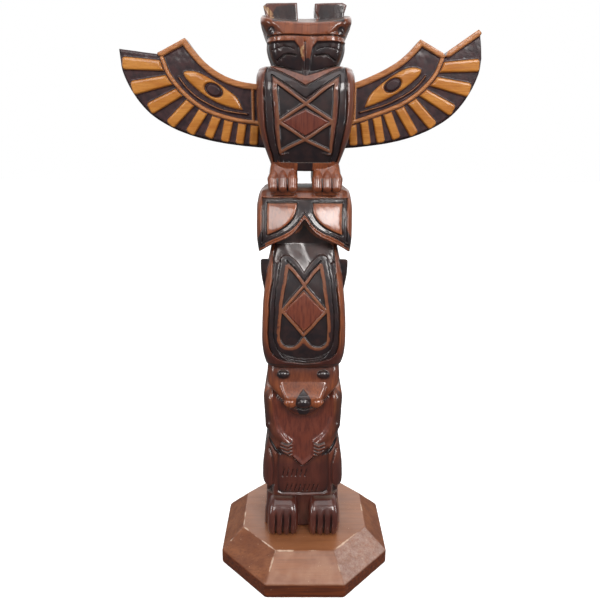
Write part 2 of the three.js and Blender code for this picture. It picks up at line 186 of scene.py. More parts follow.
def joined(a, b, fillet):
    """The union of two forms, with a fillet of about that size where they meet."""
    if fillet <= 0:
        return np.minimum(a, b)
    near = np.maximum(fillet - np.abs(a - b), 0) / fillet
    return np.minimum(a, b) - near * near * fillet / 4


def common(a, b, round_off):
    """What two forms share, with the edge between them rounded off."""
    return -joined(-a, -b, round_off)


def corner_of(a, b, radius):
    """What two forms share, meeting in a true quarter round of that radius."""
    a, b = a + radius, b + radius
    return np.hypot(np.maximum(a, 0), np.maximum(b, 0)) + np.minimum(np.maximum(a, b), 0) - radius


def curved(points, steps):
    """Points along a smooth line through the given ones, as many to each span as the steps allow."""
    p = np.array([2 * np.array(points[0]) - points[1], *points, 2 * np.array(points[-1]) - points[-2]])
    spans = len(points) - 1
    out = []
    for t in np.linspace(0, spans, steps + 1):
        i = min(int(t), spans - 1)
        w = t - i
        a, b, c, d = p[i:i + 4]
        out.append(0.5 * (2 * b + (c - a) * w + (2 * a - 5 * b + 4 * c - d) * w ** 2
                          + (3 * b - a - 3 * c + d) * w ** 3))
    return [tuple(q) for q in out]


def to_line(x, z, points):
    """Distance to a line through the points."""
    best = np.inf
    for (x0, z0), (x1, z1) in zip(points, points[1:]):
        dx, dz = x1 - x0, z1 - z0
        t = np.clip(((x - x0) * dx + (z - z0) * dz) / (dx * dx + dz * dz), 0, 1)
        best = np.minimum(best, (x - x0 - t * dx) ** 2 + (z - z0 - t * dz) ** 2)
    return np.sqrt(best)


def to_shape(x, z, points):
    """Distance to a closed outline, negative inside it."""
    distance = to_line(x, z, [*points, points[0]])
    inside = np.zeros(distance.shape, bool)
    for (x0, z0), (x1, z1) in zip(points, [*points[1:], points[0]]):
        if z0 != z1:
            inside ^= ((z0 > z) != (z1 > z)) & (x < (x1 - x0) * (z - z0) / (z1 - z0) + x0)
    return np.where(inside, -distance, distance)


def groove(distance, width, depth):
    """A round-bottomed cut along a line, as a depth."""
    return depth * (1 - eased(0.15 * width, 0.62 * width, distance))


def sunk(distance, depth, wall=0.9):
    """A sunk field with steep sides, as a depth; distance is negative inside the field."""
    return depth * (1 - eased(-wall, 0.25 * wall, distance))


def crest(distance, width):
    """A rounded top for a raised line, as a height."""
    return 0.45 * np.clip(1 - (2 * distance / width) ** 2, 0, 1)


def roll(distance, height, half):
    """A rounded ridge inside an outline, as a negative depth."""
    t = np.clip(-distance / half, 0, 1)
    return -height * np.sqrt(np.clip(1 - (1 - t) ** 2, 0, 1))


WAVES = np.random.default_rng(7).normal(size=(10, 3))
PHASES = np.random.default_rng(8).uniform(0, 6.28, 10)


def wobble(x, y, z, size):
    """Uneven hand work: a smooth field of about -1 to 1, with bumps of about that size."""
    total = 0
    for (a, b, c), phase in zip(WAVES, PHASES):
        total = total + np.sin((a * x + b * y + 0.5 * c * z) * 3.1 / size + phase)
    return total / 4


# ---------------------------------------------------------------- solid forms
def profile(heights, values):
    """A smooth curve of a value over height through the given rows."""
    heights = np.array(heights, float)
    slopes = np.gradient(np.array(values, float), heights)
    fine = np.linspace(heights[0], heights[-1], 240)
    i = np.clip(np.searchsorted(heights, fine) - 1, 0, len(heights) - 2)
    span = heights[i + 1] - heights[i]
    t = (fine - heights[i]) / span
    low, high = np.array(values)[i], np.array(values)[i + 1]
    bent = ((2 * t ** 3 - 3 * t ** 2 + 1) * low + (t ** 3 - 2 * t ** 2 + t) * span * slopes[i]
            + (3 * t ** 2 - 2 * t ** 3) * high + (t ** 3 - t ** 2) * span * slopes[i + 1])
    return lambda z: np.interp(z, fine, bent)


def block(rows, corner, edge, x0=0):
    """A stack of rounded rectangles, with rows of height, half width, front and back."""
    heights = [row[0] for row in rows]
    half, front, back = (profile(heights, [row[i] for row in rows]) for i in (1, 2, 3))

    def form(x, y, z):
        f, b = front(z), back(z)
        around = corner_of(np.abs(x - x0) - half(z), np.abs(y - (f + b) / 2) - (b - f) / 2, corner)
        ends = np.maximum(heights[0] - z, z - heights[-1])
        return corner_of(around, ends + 0 * around, edge)
    return form


def slab(points, front, back, edge):
    """A plate with an outline seen from the front, from one depth to another."""
    def form(x, y, z):
        outline = to_shape(x, z, points)
        return corner_of(outline, np.abs(y - (front + back) / 2) - (back - front) / 2, edge)
    return form


def ball(centre, radii):
    def form(x, y, z):
        k = np.sqrt(((x - centre[0]) / radii[0]) ** 2 + ((y - centre[1]) / radii[1]) ** 2
                    + ((z - centre[2]) / radii[2]) ** 2)
        return (k - 1) * min(radii)
    return form


def rod(points):
    """Balls swept along a line, with points of x, y, z and radius."""
    def form(x, y, z):
        best = FAR
        for a, b in zip(points, points[1:]):
            d = np.subtract(b[:3], a[:3])
            t = ((x - a[0]) * d[0] + (y - a[1]) * d[1] + (z - a[2]) * d[2]) / (d @ d)
            t = np.clip(t, 0, 1)
            away = np.sqrt((x - a[0] - t * d[0]) ** 2 + (y - a[1] - t * d[1]) ** 2
                           + (z - a[2] - t * d[2]) ** 2)
            best = np.minimum(best, away - a[3] - t * (b[3] - a[3]))
        return best
    return form


# ---------------------------------------------------------------- maps of the carving
# Seen from the front, the cuts and the paint are maps over x and z: depth into the wood, and
# distances to the edge of each colour, negative inside it.
# The colour of the hollow under the flukes and parts of the dark colour are painted shade.
COLOURS = ("black", "red", "dark", "tan", "line", "cove_shade")


class Carving:
    """The carving on one front: a grid over x and z for the depth and for each colour."""

    def __init__(self, low, high, step, colours):
        self.step = step
        self.x = np.arange(low[0], high[0] + step, step)
        self.z = np.arange(low[1], high[1] + step, step)
        shape = (len(self.x), len(self.z))
        self.maps = {"depth": np.zeros(shape)}
        self.maps.update({name: np.full(shape, FAR) for name in colours})

    def rows(self, low, high):
        """The grid between two heights: |x|, x, z and the maps there, with x and z a little uneven,
        as lines drawn by hand are."""
        near = slice(*np.searchsorted(self.z, (low, high)))
        x, z = self.x[:, None], self.z[None, near]
        x, z = (x + 0.25 * np.sin(0.17 * z + 0.4) + 0.12 * np.sin(0.43 * z),
                z + 0.25 * np.sin(0.19 * x + 1))
        return np.abs(x), x, z, {name: grid[:, near] for name, grid in self.maps.items()}

    def at(self, name, x, z):
        """A map's value anywhere, straight between its grid points."""
        grid = self.maps[name]
        u = np.clip((x - self.x[0]) / self.step, 0, len(self.x) - 1.001)
        v = np.clip((z - self.z[0]) / self.step, 0, len(self.z) - 1.001)
        i, j = u.astype(int), v.astype(int)
        u, v = u - i, v - j
        return (grid[i, j] * (1 - u) * (1 - v) + grid[i + 1, j] * u * (1 - v)
                + grid[i, j + 1] * (1 - u) * v + grid[i + 1, j + 1] * u * v)


def cut(maps, *depths):
    for depth in depths:
        maps["depth"][:] = np.maximum(maps["depth"], depth)


def colour(maps, name, *distances):
    """Adds areas to a colour. A distance that is scaled down gives a softer edge."""
    for distance in distances:
        maps[name][:] = np.minimum(maps[name], distance)


def at_front(y):
    """1 on the carved front, falling to 0 on the way back through the wood."""
    return 1 - eased(-30, -20, y)


pole = Carving((-50, FOOT - 3), (50, 562), 0.4, COLOURS)
# A second map of depths, for the bear's body behind its jaw.
pole.maps["chest"] = np.zeros_like(pole.maps["depth"])


# ---------------------------------------------------------------- the thunderbird
BIRD_HEAD = [
    (496.5, 27, -38, 36),
    (508, 29.6, -41, 38),
    (516, 32.8, -42.5, 40),
    (524, 34.2, -43, 41),
    (529.5, 33.2, -43, 41),
    (534, 35.6, -43, 41.5),
    (539, 38.2, -42.5, 42),
    (545, 38.8, -40.5, 41),
    (552.5, 36.5, -34, 36),
]
BIRD_BODY = [
    (419.5, 29, -35, 32),
    (437, 35.2, -41, 39),
    (450, 39.6, -43.6, 43),
    (464, 42.2, -44.8, 44),
    (482, 43, -45.2, 44),
    (491, 43, -44.8, 44),
    (497, 43, -43.2, 44),
    (503.5, 41.6, -39.4, 43),
    (507.6, 38, -35.4, 41),
    (509, 33, -32, 37),
]
BIRD_LEG = [
    (398, 11.4, -38, 30),
    (406, 12, -39.6, 31),
    (413, 12.8, -39.4, 31),
    (419, 12.6, -37.4, 30),
    (425, 11.6, -33.6, 29),
    (430, 10.4, -30, 27),
]
# The toes of one foot: across, at the ankle, the knuckle and the tip.
BIRD_TOES = ((12.2, 11.4, 11.2), (19.8, 20, 20), (27.2, 28.8, 28.6))
BIRD_EYE = (29.5, 534.4)
CROWN = {"front": -43, "height": 540, "slope": 15, "sag": 4}
LEFT_HORN = [(-35.6, 538), (-34.6, 549), (-36.6, 555.6), (-33.6, 558), (-7.6, 558.6), (-6.4, 538)]
RIGHT_HORN = [(8.2, 538), (8.4, 545.6), (10.4, 547), (7.6, 552), (7.2, 558), (31, 558.6), (34.6, 556.8),
              (32.4, 550), (33, 538)]
NOSE_SIDE = [(10, 527), (5.2, 521.4), (3.6, 514), (2.6, 506), (0, 499)]
CHIN = [(-40, 480), (-40, 499), (0, 499), (29, 507.6), (50, 511), (50, 480)]


def bird_head(x, y, z):
    head = block(BIRD_HEAD, 13, 2)(x, y, z)
    sag = CROWN["sag"] * (np.minimum(np.abs(x), 44) / 38) ** 2
    top = CROWN["height"] + sag + (y - CROWN["front"]) * math.tan(math.radians(CROWN["slope"]))
    head = common(head, (z - top) * math.cos(math.radians(CROWN["slope"])), 1.2)
    under_chin = np.maximum(to_shape(np.abs(x), z, CHIN), y + 34)
    head = common(head, -under_chin, 1.2)
    return joined(head, ball((BIRD_EYE[0], -37.8, BIRD_EYE[1]), (3.5, 3.4, 2.9))(np.abs(x), y, z), 0.4)


def horns(x, y, z):
    return np.minimum(slab(LEFT_HORN, -28, 6, 1.6)(x, y, z), slab(RIGHT_HORN, -28, 6, 1.6)(x, y, z))


def bird_legs(x, y, z):
    ax = np.abs(x)
    legs = block(BIRD_LEG, 6, 1.5, 19.6)(ax, y, z)
    for ankle, knuckle, tip in BIRD_TOES:
        toe = rod([(ankle, -33, 418.4, 4.2), (knuckle, -37.4, 412.6, 5), (tip, -40.2, 405.4, 4.4)])
        legs = joined(legs, toe(ax, y, z), 0.4)
    return legs


def carve_bird_head():
    ax, x, z, maps = pole.rows(490, 562)
    face = np.maximum(np.maximum(z - 526, -to_shape(ax, z, CHIN)), z - 560)
    face = np.maximum(face, 497 + 0 * ax - z)
    nose = to_shape(ax, z, [(-20, 490), (0, 490), *reversed(NOSE_SIDE[:-1]), (-20, 527)])
    cheek = np.maximum(face, -nose)
    cut(maps, sunk(cheek, FIELD, 1.4))
    crescent = to_line(ax, z, curved([(8.4, 515.2), (16.5, 515.6), (24.5, 511.8)], 8))
    cut(maps, (FIELD + GROOVE) * (1 - eased(0.2, 1.4, crescent)) * (z > 505))
    lid = to_line(ax, z, curved([(9.4, 519.6), (17, 521.4), (29, 519.8)], 8))
    cut(maps, (FIELD + 0.7) * (1 - eased(0.1, 1, lid)))
    cut(maps, groove(np.abs(z - 530.4), 1.5, GROOVE) * (ax < 60))
    split = np.where(face < 0, np.abs(x + 0.6), FAR)
    cut(maps, groove(split, 1.6, 1))
    side = to_shape(ax, z, [(19, 531), (44, 531), (44, 541), (36, 541.4), (25, 538)])
    cut(maps, sunk(side, 1.2, 3))
    beak = np.maximum(face, z - 512 - 1.5 * np.sin(x))
    eye = np.hypot(ax - BIRD_EYE[0], z - BIRD_EYE[1]) - 3.3
    colour(maps, "black", np.maximum(cheek, 0.3 - nose), beak, split - 0.3, eye)
    colour(maps, "dark", 0.3 * side)
    strip = np.abs(x + 3.1 + 0.5 * np.sin(z * 0.9)) - 1.3 + 0.4 * np.sin(z * 2.1)
    colour(maps, "tan", np.maximum(np.maximum(strip, np.abs(z - 518.6) - 4.8), 0.4 - split))

    # The horns are black. The left one has lost its tip, and shows bare wood there.
    left = to_shape(x, z, [(-28, 541), (-29, 549), (-25, 555.6), (-8.6, 556.4), (-7.4, 541)])
    right = to_shape(x, z, [(9, 541), (11, 547), (8.4, 556), (32, 556.6), (31.6, 541)])
    colour(maps, "black", 0.5 * left, 0.5 * right)
    colour(maps, "tan", to_shape(x, z, [(-38, 556), (-31, 555), (-27, 548), (-28.6, 544), (-34, 551)]))


def carve_bird_feet():
    ax, _, z, maps = pole.rows(398, 424)
    for across in (15.7, 24.4):
        colour(maps, "black", to_line(ax, z, [(across, 396), (across, 413)]) - 0.6)
    ax, _, z, maps = pole.rows(416, 430)
    colour(maps, "black", ax - 6.8 + 0 * z)


def carve_bird_body():
    ax, _, z, maps = pole.rows(427, 512)
    outer_points = curved([(33.6, 505.5), (35.2, 494), (35.4, 470), (33.2, 450), (26, 420)], 14)
    inner_points = curved([(28.9, 499.4), (28, 470), (25.6, 446), (21, 420)], 12)
    outer, inner = to_line(ax, z, outer_points), to_line(ax, z, inner_points)
    upper_v = to_line(ax, z, [(-10, 485.5), (0, 490.8), (33.6, 507.9)])
    lower_v = to_line(ax, z, [(0, 480.5), (28.9, 499.6)])
    band = to_shape(ax, z, [(-3, 490.8), (0, 490.8), (33.6, 507.9), *outer_points, (21, 420),
                            *inner_points[::-1], (0, 480.5), (-3, 480.5)])
    maps["depth"] += roll(band, 1.8, 3.2) + sunk(band, 0.8)
    for line, width in ((outer, 1.7), (inner, 1.5), (upper_v, 1.8), (lower_v, 1.6)):
        cut(maps, groove(line, width, GROOVE))
    bars = np.minimum(to_line(ax, z, [(26, 496), (22.4, 436)]),
                      to_line(ax, z, [(26, 495), (0, 476.5), (23.6, 461.5), (0, 447), (22.4, 436)]))
    diamond = to_shape(ax, z, [(-19.6, 461.3), (0, 471.5), (19.6, 461.3), (0, 450.5)])
    panel = to_shape(ax, z, [(-9, 479.5), (0, 479.5), (27, 497), (23.6, 434.6), (-9, 434.6)])
    field = np.maximum(np.maximum(panel, LINE / 2 - bars), -diamond)
    cut(maps, sunk(field, FIELD))
    maps["depth"] -= crest(bars, LINE)
    colour(maps, "line", bars - LINE / 2)
    belly = to_shape(ax, z, [(-9, 443.6), (0, 443.6), (19.4, 433.6), (24, 434), (21.6, 412), (-9, 412)])
    cut(maps, sunk(belly, FIELD))
    colour(maps, "black", band, np.maximum(field, 5 - diamond * 3), belly)
    colour(maps, "red", diamond)


# ---------------------------------------------------------------- the whale
FLUKES = [
    (341.5, 42.6, -42, 43),
    (350, 43.6, -45.4, 44),
    (358, 44.4, -46.4, 44),
    (366, 44.5, -45.8, 44),
    (371, 44.5, -44.7, 44),
    (380, 44.5, -42.4, 44),
    (389, 44.3, -39.4, 44),
    (394, 43.4, -37.4, 44),
    (398.6, 42.4, -34.8, 43),
    (402, 41, -31.4, 42),
    (404.5, 38.6, -27, 40),
]
FLUKES_BOW = 6
WHALE = [
    (226.4, 32, -30, 38),
    (230.6, 36.4, -38.5, 42),
    (238, 39, -43.2, 43.5),
    (250, 40.8, -45.7, 44),
    (272, 41, -46, 44),
    (290, 40.2, -44.6, 44),
    (310, 38.4, -41.5, 43),
    (332, 35.4, -36, 42),
    (352, 31.6, -30, 40),
    (384, 30, -26, 36),
]
ARCH = curved([(0, 377), (3, 373.5), (8.5, 366), (16, 360), (25, 356), (34, 351.6), (46, 342.6)], 14)
LOBE = curved([(7.4, 391), (8.4, 382.5), (14, 374), (22.4, 368), (34.4, 363)], 10)
CREST = curved([(0, 326), (6, 334.6), (12, 340.4), (17, 342.4), (21.6, 340.4), (25.6, 334)], 12)
# The cove under the flukes: its sloping wall starts at this depth and height, with a slanting fold.
COVE = {"front": -34.6, "low": 322, "lean": 0.35, "wall": -24, "step": 2.8, "drift": 0.45}
FIN = curved([(-27, 337), (-10, 333), (8, 316), (20, 292), (22, 270), (12, 262), (-4, 274), (-18, 296),
              (-27, 318), (-27, 337)], 27)[:-1]


def flukes(x, y, z):
    bow = FLUKES_BOW * (x / 44) ** 2 * (1 - eased(-30, 0, y))
    tail = block(FLUKES, 8, 3)(x, y - bow, z)
    below = to_shape(np.abs(x), z, [(-40, 377), *ARCH, (60, 300), (-40, 300)])
    return common(tail, -below, 1.2)


def whale(x, y, z):
    body = block(WHALE, 14, 2.5)(x, y, z)
    hollow = to_shape(np.abs(x), z, [(-40, 326), *CREST, (27.4, 336), (28, 352), (26, 390), (-40, 390)])
    back_wall = np.minimum(COVE["front"] + COVE["lean"] * (z - COVE["low"]), COVE["wall"])
    fold = COVE["drift"] * (350 - z)
    back_wall = back_wall - COVE["step"] * (1 - eased(fold - 20, fold + 2, x))
    body = common(body, -np.maximum(hollow, y - back_wall), 1)
    return joined(body, whale_fins(x, y, z), 0.6)


def whale_fins(x, y, z):
    side = to_shape(y, z, FIN) + 0 * x
    outer = 41.9 - 3.4 * (1 - eased(296, 330, z))
    return corner_of(side, np.abs(np.abs(x) - 36) - (outer - 36), 1.6)


def carve_flukes():
    ax, _, z, maps = pole.rows(338, 400)
    side = np.maximum(ax - 38.9, z - 395)
    panel = to_shape(ax, z, [*LOBE, (34.4, 391)])
    band = [(px, pz + 6) for px, pz in ARCH]
    under = np.where(ax < 41, to_line(ax, z, band), FAR)
    rim = np.where(ax < 41, to_line(ax, z, [(px, pz + 2.6) for px, pz in ARCH]), FAR)
    below = to_shape(ax, z, [(-40, 383), *band, (60, 300), (-40, 300)])
    ground = np.maximum(np.maximum(side, -panel), -below)
    maps["depth"] += roll(np.maximum(ground, 355 - z), 1, 2.6)
    cut(maps, groove(np.maximum(np.abs(side), 356 - z), 1.6, GROOVE),
        sunk(np.maximum(ground, 355 - z), 1, 1.2), groove(np.abs(panel - 0.6), 1.5, GROOVE + 0.5),
        groove(under, 1.5, GROOVE), groove(rim, 1, 0.6))
    maps["depth"] += roll(panel, 0.5, 2.4)
    tip = to_shape(ax, z, [(36, 352), (41, 350.5), (44.4, 345), (43.4, 359), (38.9, 368)])
    colour(maps, "black", ground + 0.3, under - 1, tip)

    # The hollow under the arch, and the cove that runs down from it to the whale's chest. Its dark
    # colour is painted shade under the flukes, and the black at its top and left is painted shadow.
    ax, x, z, maps = pole.rows(322, 384)
    arch = to_shape(ax, z, [(-40, 376.5), *ARCH, (60, 300), (-40, 300)])
    chest = to_shape(ax, z, [(-40, 327), *CREST, (27.4, 336), (28, 352), (46, 345), (46, 300),
                             (-40, 300)])
    colour(maps, "cove_shade", np.maximum(arch, -chest) - 1)
    # Painted shadow: black at the top of the hollow and along its left side.
    colour(maps, "black", 0.25 * np.maximum(arch, 362 - z + 0.4 * x))


def carve_whale():
    ax, _, z, maps = pole.rows(224, 346)
    outer_points = curved([(28.4, 350), (30, 322), (33.4, 292), (34, 262), (30, 246.5), (17, 238.6),
                           (0, 236.4)], 24)
    inner_points = curved([(22, 338), (26.2, 312), (28.4, 285), (28.4, 262), (23.5, 249.5), (13, 243.8),
                           (0, 242.4)], 24)
    outer, inner = to_line(ax, z, outer_points), to_line(ax, z, inner_points)
    top_line = curved([(0, 318.4), (8, 329), (16, 336.4)], 8)
    band = to_shape(ax, z, [*outer_points, (-6, 236.4), (-6, 325), *CREST])
    bar_side = curved([(15.8, 332), (20, 307), (22.4, 290), (24, 268), (22.6, 258), (17.5, 253.2),
                       (11, 252.8), (5, 256.4), (0, 263.5)], 27)
    bar_top = curved([(0, 314.5), (8, 325), (15.8, 332.6)], 8)
    bars = np.minimum(to_line(ax, z, bar_side), to_line(ax, z, bar_top))
    bars = np.minimum(bars, to_line(ax, z, [(0, 314.5), (21, 290), (0, 266.5)]))
    diamond = to_shape(ax, z, [(-18.4, 289.7), (0, 308.5), (18.4, 289.7), (0, 271)])
    panel = to_shape(ax, z, [(-6, 314.5), *bar_top, *bar_side[1:], (-6, 263.5)])
    field = np.maximum(np.maximum(panel, LINE / 2 - bars), -diamond)
    ring = np.maximum(band, LINE / 2 + 0.6 - np.minimum(bars, np.abs(panel)))
    ring = np.maximum(ring, -panel)
    maps["depth"] += roll(ring, 1.9, 3) + sunk(ring, 0.8)
    cut(maps, groove(outer, 1.7, GROOVE), groove(inner, 1.2, GROOVE * 0.7),
        groove(to_line(ax, z, top_line), 1.4, GROOVE), sunk(field, FIELD))
    lattice = np.minimum(bars, np.abs(panel))
    maps["depth"] -= crest(lattice, LINE)
    colour(maps, "line", lattice - LINE / 2)
    for drop in (0, 5.4, 9):
        fold = [(px * (1 - drop / 90), pz - drop * 0.55) for px, pz in inner_points[12:]]
        cut(maps, groove(to_line(ax, z, fold), 1.1, 0.7))
    colour(maps, "black", ring, np.maximum(field, 5 - diamond * 3))
    colour(maps, "red", diamond)


# ---------------------------------------------------------------- the bear
BEAR_HEAD = [
    (176.4, 9, -38, 30),
    (179.4, 13.4, -40.4, 34),
    (184, 16.4, -41.6, 34),
    (189, 19, -41.6, 34),
    (194, 22.8, -41.2, 36),
    (199, 27.4, -40.4, 38),
    (204, 32, -39.4, 40),
    (209.6, 36, -37.8, 41),
    (216, 37, -36.4, 42),
    (224, 36.6, -35, 42),
    (236, 35.4, -31, 40),
]
BEAR_BODY = [
    (84, 38, -40.4, 40),
    (90, 39.6, -42.4, 42.5),
    (99, 42, -43.2, 44),
    (112, 42.2, -42.8, 44),
    (126, 41, -41.4, 44),
    (137, 39, -40, 43.5),
    (147.5, 36.8, -38.4, 42.5),
    (161, 38.6, -37, 43),
    (180, 40.4, -35.4, 43.5),
    (196, 40.4, -33.2, 43),
    (204, 38, -28, 41),
]
SNOUT = [
    (189, 14, -42, 0),
    (191, 17, -44.4, 0),
    (195, 18.8, -45.8, 0),
    (198.6, 19.6, -46.4, 0),
    (200.4, 20.4, -46, 0),
    (203, 22, -44.2, 0),
    (206.4, 24, -41.8, 0),
    (210, 25.4, -39.4, 0),
    (213.8, 26.4, -36.8, 0),
]
CHEEKS = ((-12.6, -42.6, 194.2), (13.6, -42.6, 194.2))
BEAR_FOOT = [
    (FOOT, 14.9, -45.2, 20),
    (44, 15.8, -47, 20),
    (57, 16, -46.8, 20),
    (66, 15.6, -44.6, 20),
    (73, 14.4, -40, 20),
    (79, 12.4, -33, 20),
]
BEAR_LEGS = [
    (FOOT, 42, -29, 43),
    (50, 41.6, -29.4, 43),
    (66, 39.6, -30, 43),
    (104, 39, -31, 43),
]
FOOT_MIDDLES = (-20.9, 22.7)
# How wide a toe is, and how deep the cut between two toes goes and how far it reaches.
TOE = 7.6
TOE_CUT, TOE_SIDE = 2.8, 3.4
# From one finger to the next.
FINGER = 3.9
MOUTH = curved([(0, 186), (7, 187.4), (13, 188.8), (18.4, 191.6), (23.4, 196), (29, 202.4)], 15)
# The outline of the face over the chest.
JAW = [(-20, 175.6), (9, 175.6), (14, 178), (17.6, 184), (20.6, 190), (25, 196), (31, 202.4),
       (38, 210), (38, 240), (-20, 240)]
# The teeth hang from the mouth's line at these points.
TEETH = MOUTH[5:14]
BEAR_EYE = {"middle": (20, 221.4), "half": (6.4, 4.8)}


def bear_head(x, y, z):
    head = block(BEAR_HEAD, 12, 2)(x, y, z)
    head = joined(head, block(SNOUT, 6, 0.6)(x, y, z), 0.6)
    for cheek in CHEEKS:
        head = joined(head, ball(cheek, (7, 5.2, 5.6))(x, y, z), 0.4)
    across, up = BEAR_EYE["middle"]
    head = joined(head, ball((across, -35.4, up), (6.2, 3.8, 4.6))(np.abs(x), y, z), 0.3)
    return joined(head, ball((0.3, -42, 194.4), (8, 6.4, 6.2))(x, y, z), 0.4)


def bear_body(x, y, z):
    body = block(BEAR_BODY, 14, 2)(x, y, z) + pole.at("chest", x, z) * at_front(y)
    ax = np.abs(x)
    forearm = rod([(33, -19, 184, 5), (32.8, -23, 174, 7), (31, -27.6, 163, 8), (26, -30.8, 154.6, 7.6),
                   (19, -34.6, 147.8, 5.6), (14, -37, 145, 4)])
    body = joined(body, forearm(ax, y, z), 1)
    for i in range(4):
        low = 132.4 + FINGER * i
        finger = rod([(12, -40, low + 1.4, 1.8), (16, -41, low - 0.2, 2), (21.6, -40, low + 1.8, 1.9)])
        body = joined(body, finger(ax, y, z), 0.2)
    return body


def bear_legs(x, y, z):
    legs = block(BEAR_LEGS, 9, 1.5)(x, y, z)
    for middle in FOOT_MIDDLES:
        legs = joined(legs, block(BEAR_FOOT, 6.5, 3, middle)(x, y, z), 0.8)
    return legs


def belly_strokes(x, z):
    """Two rows of short parallel strokes."""
    best = FAR + 0 * x + 0 * z
    for height, start, count in ((112.5, -20, 6), (95, -17, 8)):
        for i in range(count):
            middle = start + 4.6 * i
            best = np.minimum(best, to_line(x, z, [(middle - 1, height - 4), (middle + 1, height + 4)]))
    return best


def carve_bear_face():
    ax, x, z, maps = pole.rows(160, 236)
    mouth = to_line(ax, z, MOUTH)
    cut(maps, groove(mouth, 1.5, 1.6))
    teeth = FAR
    for px, pz in TEETH:
        teeth = np.minimum(teeth, to_line(ax, z, [(px, pz), (px + 1.6, pz - 2.6)]))
    cut(maps, groove(teeth, 1, 0.8))
    nose = to_shape(x, z, [(0, 208.6), (3.8, 204.4), (7.6, 199.8), (8, 194), (6.2, 189), (-5.8, 189),
                           (-7.4, 194), (-7, 199.8), (-3.6, 204.4)])
    bridge = np.maximum(nose, 199 - z)
    maps["depth"] -= 0.9 * (1 - eased(-0.6, 0.4, bridge))
    chin = to_shape(x, z, [(-5.6, 190), (6, 190), (6.6, 184), (3.4, 179.6), (-3.4, 179.6), (-6, 184)])
    (across, up), (wide, tall) = BEAR_EYE["middle"], BEAR_EYE["half"]
    eye = (np.hypot((ax - across) / wide, (z - up) / tall) - 1) * tall
    lips = to_shape(ax, z, [(5, 188.6), (13, 188.6), (18, 191.4), (16.4, 186), (12, 181.4), (5, 180.4)])
    shade_under_whale = to_shape(ax, z, [(-40, 227), (18, 226), (36, 229), (36, 240), (-40, 240)])
    face = to_shape(ax, z, JAW)
    colour(maps, "black", nose, chin, eye, np.minimum(mouth, teeth) - 0.35)
    colour(maps, "line", np.maximum(nose - 1.1, 0.1 - nose) + 0.3 * np.maximum(200 - z, 0))
    colour(maps, "red", lips)
    # Painted shade in the dark colour: along the brow under the whale's overhang, and in a band around
    # the jaw where the face overhangs the chest. The eye rings and lips are dark paint.
    colour(maps, "dark", 0.4 * eye - 0.4, 0.5 * lips, 0.4 * shade_under_whale,
           0.35 * np.maximum(face - 4, -face - 1))


def carve_bear_front():
    ax, x, z, maps = pole.rows(80, 203)
    chest = to_shape(ax, z, [(-9, 121.5), (0, 121.5), (11.5, 131.5), (12, 147), (21, 151), (27, 160),
                             (31, 174), (31.5, 190), (31.5, 215), (-9, 215)])
    maps["chest"][:] = sunk(chest, 2 + 1.4 * eased(150, 176, z), 5)
    belly = to_shape(ax, z, [(-9, 121), (0, 121), (12, 131), (27, 143), (28, 98), (26.6, 91), (22, 87.4),
                             (-9, 86.6)])
    strokes = belly_strokes(x, z)
    cut(maps, sunk(belly, BELLY, 1.8), (BELLY + 1) * (1 - eased(0.25, 0.9, strokes)))
    under_hip = to_shape(ax, z, curved([(31, 84), (30.4, 101), (34, 97.4), (39, 96.6), (46, 99)], 16)
                         + [(50, 76), (31, 76)])
    hip = curved([(34, 138), (30.6, 126), (29.8, 112), (30.4, 100)], 8)
    cut(maps, sunk(under_hip, HIP, 4), groove(to_line(ax, z, hip), 3.2, 1.4))
    maps["depth"] -= crest(to_line(ax, z, [(-5, 85), (22, 85.6), (27.4, 90), (28.4, 98)]), 2.6)
    fold = to_line(ax, z, curved([(43, 160), (37, 151), (30, 141), (23.4, 133.8)], 12))
    cut(maps, groove(to_line(ax, z, [(0, 121), (12, 131.4)]), 1.6, 2.6), groove(fold, 3.4, 3))
    for i in range(5):
        low = 130.5 + FINGER * i
        between = to_line(ax, z, curved([(11, low + 1.4), (16, low - 0.2), (22.4, low + 1.8)], 6))
        colour(maps, "black", between - 0.45)
    face = to_shape(ax, z, JAW)
    shoulder = to_shape(ax, z, [(31.5, 150), (50, 150), (50, 206), (37, 206), (33, 200)])
    colour(maps, "black", fold - 1.6, strokes - 0.15)
    colour(maps, "red", np.maximum(chest, -face))
    colour(maps, "dark", 0.4 * np.maximum(shoulder, -face))


def carve_bear_feet():
    _, x, z, maps = pole.rows(FOOT - 2, 84)
    reach = 1 - eased(58, 70, z)
    for middle in FOOT_MIDDLES:
        across = x - middle - 0.2
        gap = TOE / 2 - np.abs(across % TOE - TOE / 2)
        inside = np.abs(across) < 1.6 * TOE
        cut(maps, np.where(inside, TOE_CUT * (1 - np.clip(gap / TOE_SIDE, 0, 1)) ** 2 * reach, 0))
        colour(maps, "black", np.where(inside, gap + 3 * eased(56, 66, z), FAR) - 0.4)


for carve in (carve_bird_head, carve_bird_body, carve_bird_feet, carve_flukes, carve_whale,
              carve_bear_face, carve_bear_front, carve_bear_feet):
    carve()

# Each form with the heights between which it reaches.
POLE_FORMS = [
    (530, 566, horns),
    (488, 562, bird_head),
    (410, 518, block(BIRD_BODY, 14, 2)),
    (390, 434, bird_legs),
    (336, 412, flukes),
    (218, 392, whale),
    (164, 244, bear_head),
    (76, 210, bear_body),
    (FOOT - 4, 112, bear_legs),
]


def pole_field(x, y, z):
    """The carved pole's distance, over a grid or at a list of points."""
    shape = np.broadcast_shapes(x.shape, y.shape, z.shape)
    total = np.full(shape, FAR, np.float32)
    heights = z.reshape(-1)
    for low, high, form in POLE_FORMS:
        near = (heights > low) & (heights < high)
        px, py, pz = (a[..., near] if a.shape[-1] > 1 else a for a in (x, y, z))
        if near.any():
            total[..., near] = joined(total[..., near], form(px, py, pz), 0.8)
    total = total + pole.at("depth", x, z) * at_front(y)
    return total + 0.16 * wobble(x, y, z, 22) + 0.05 * wobble(y, x, z, 6)


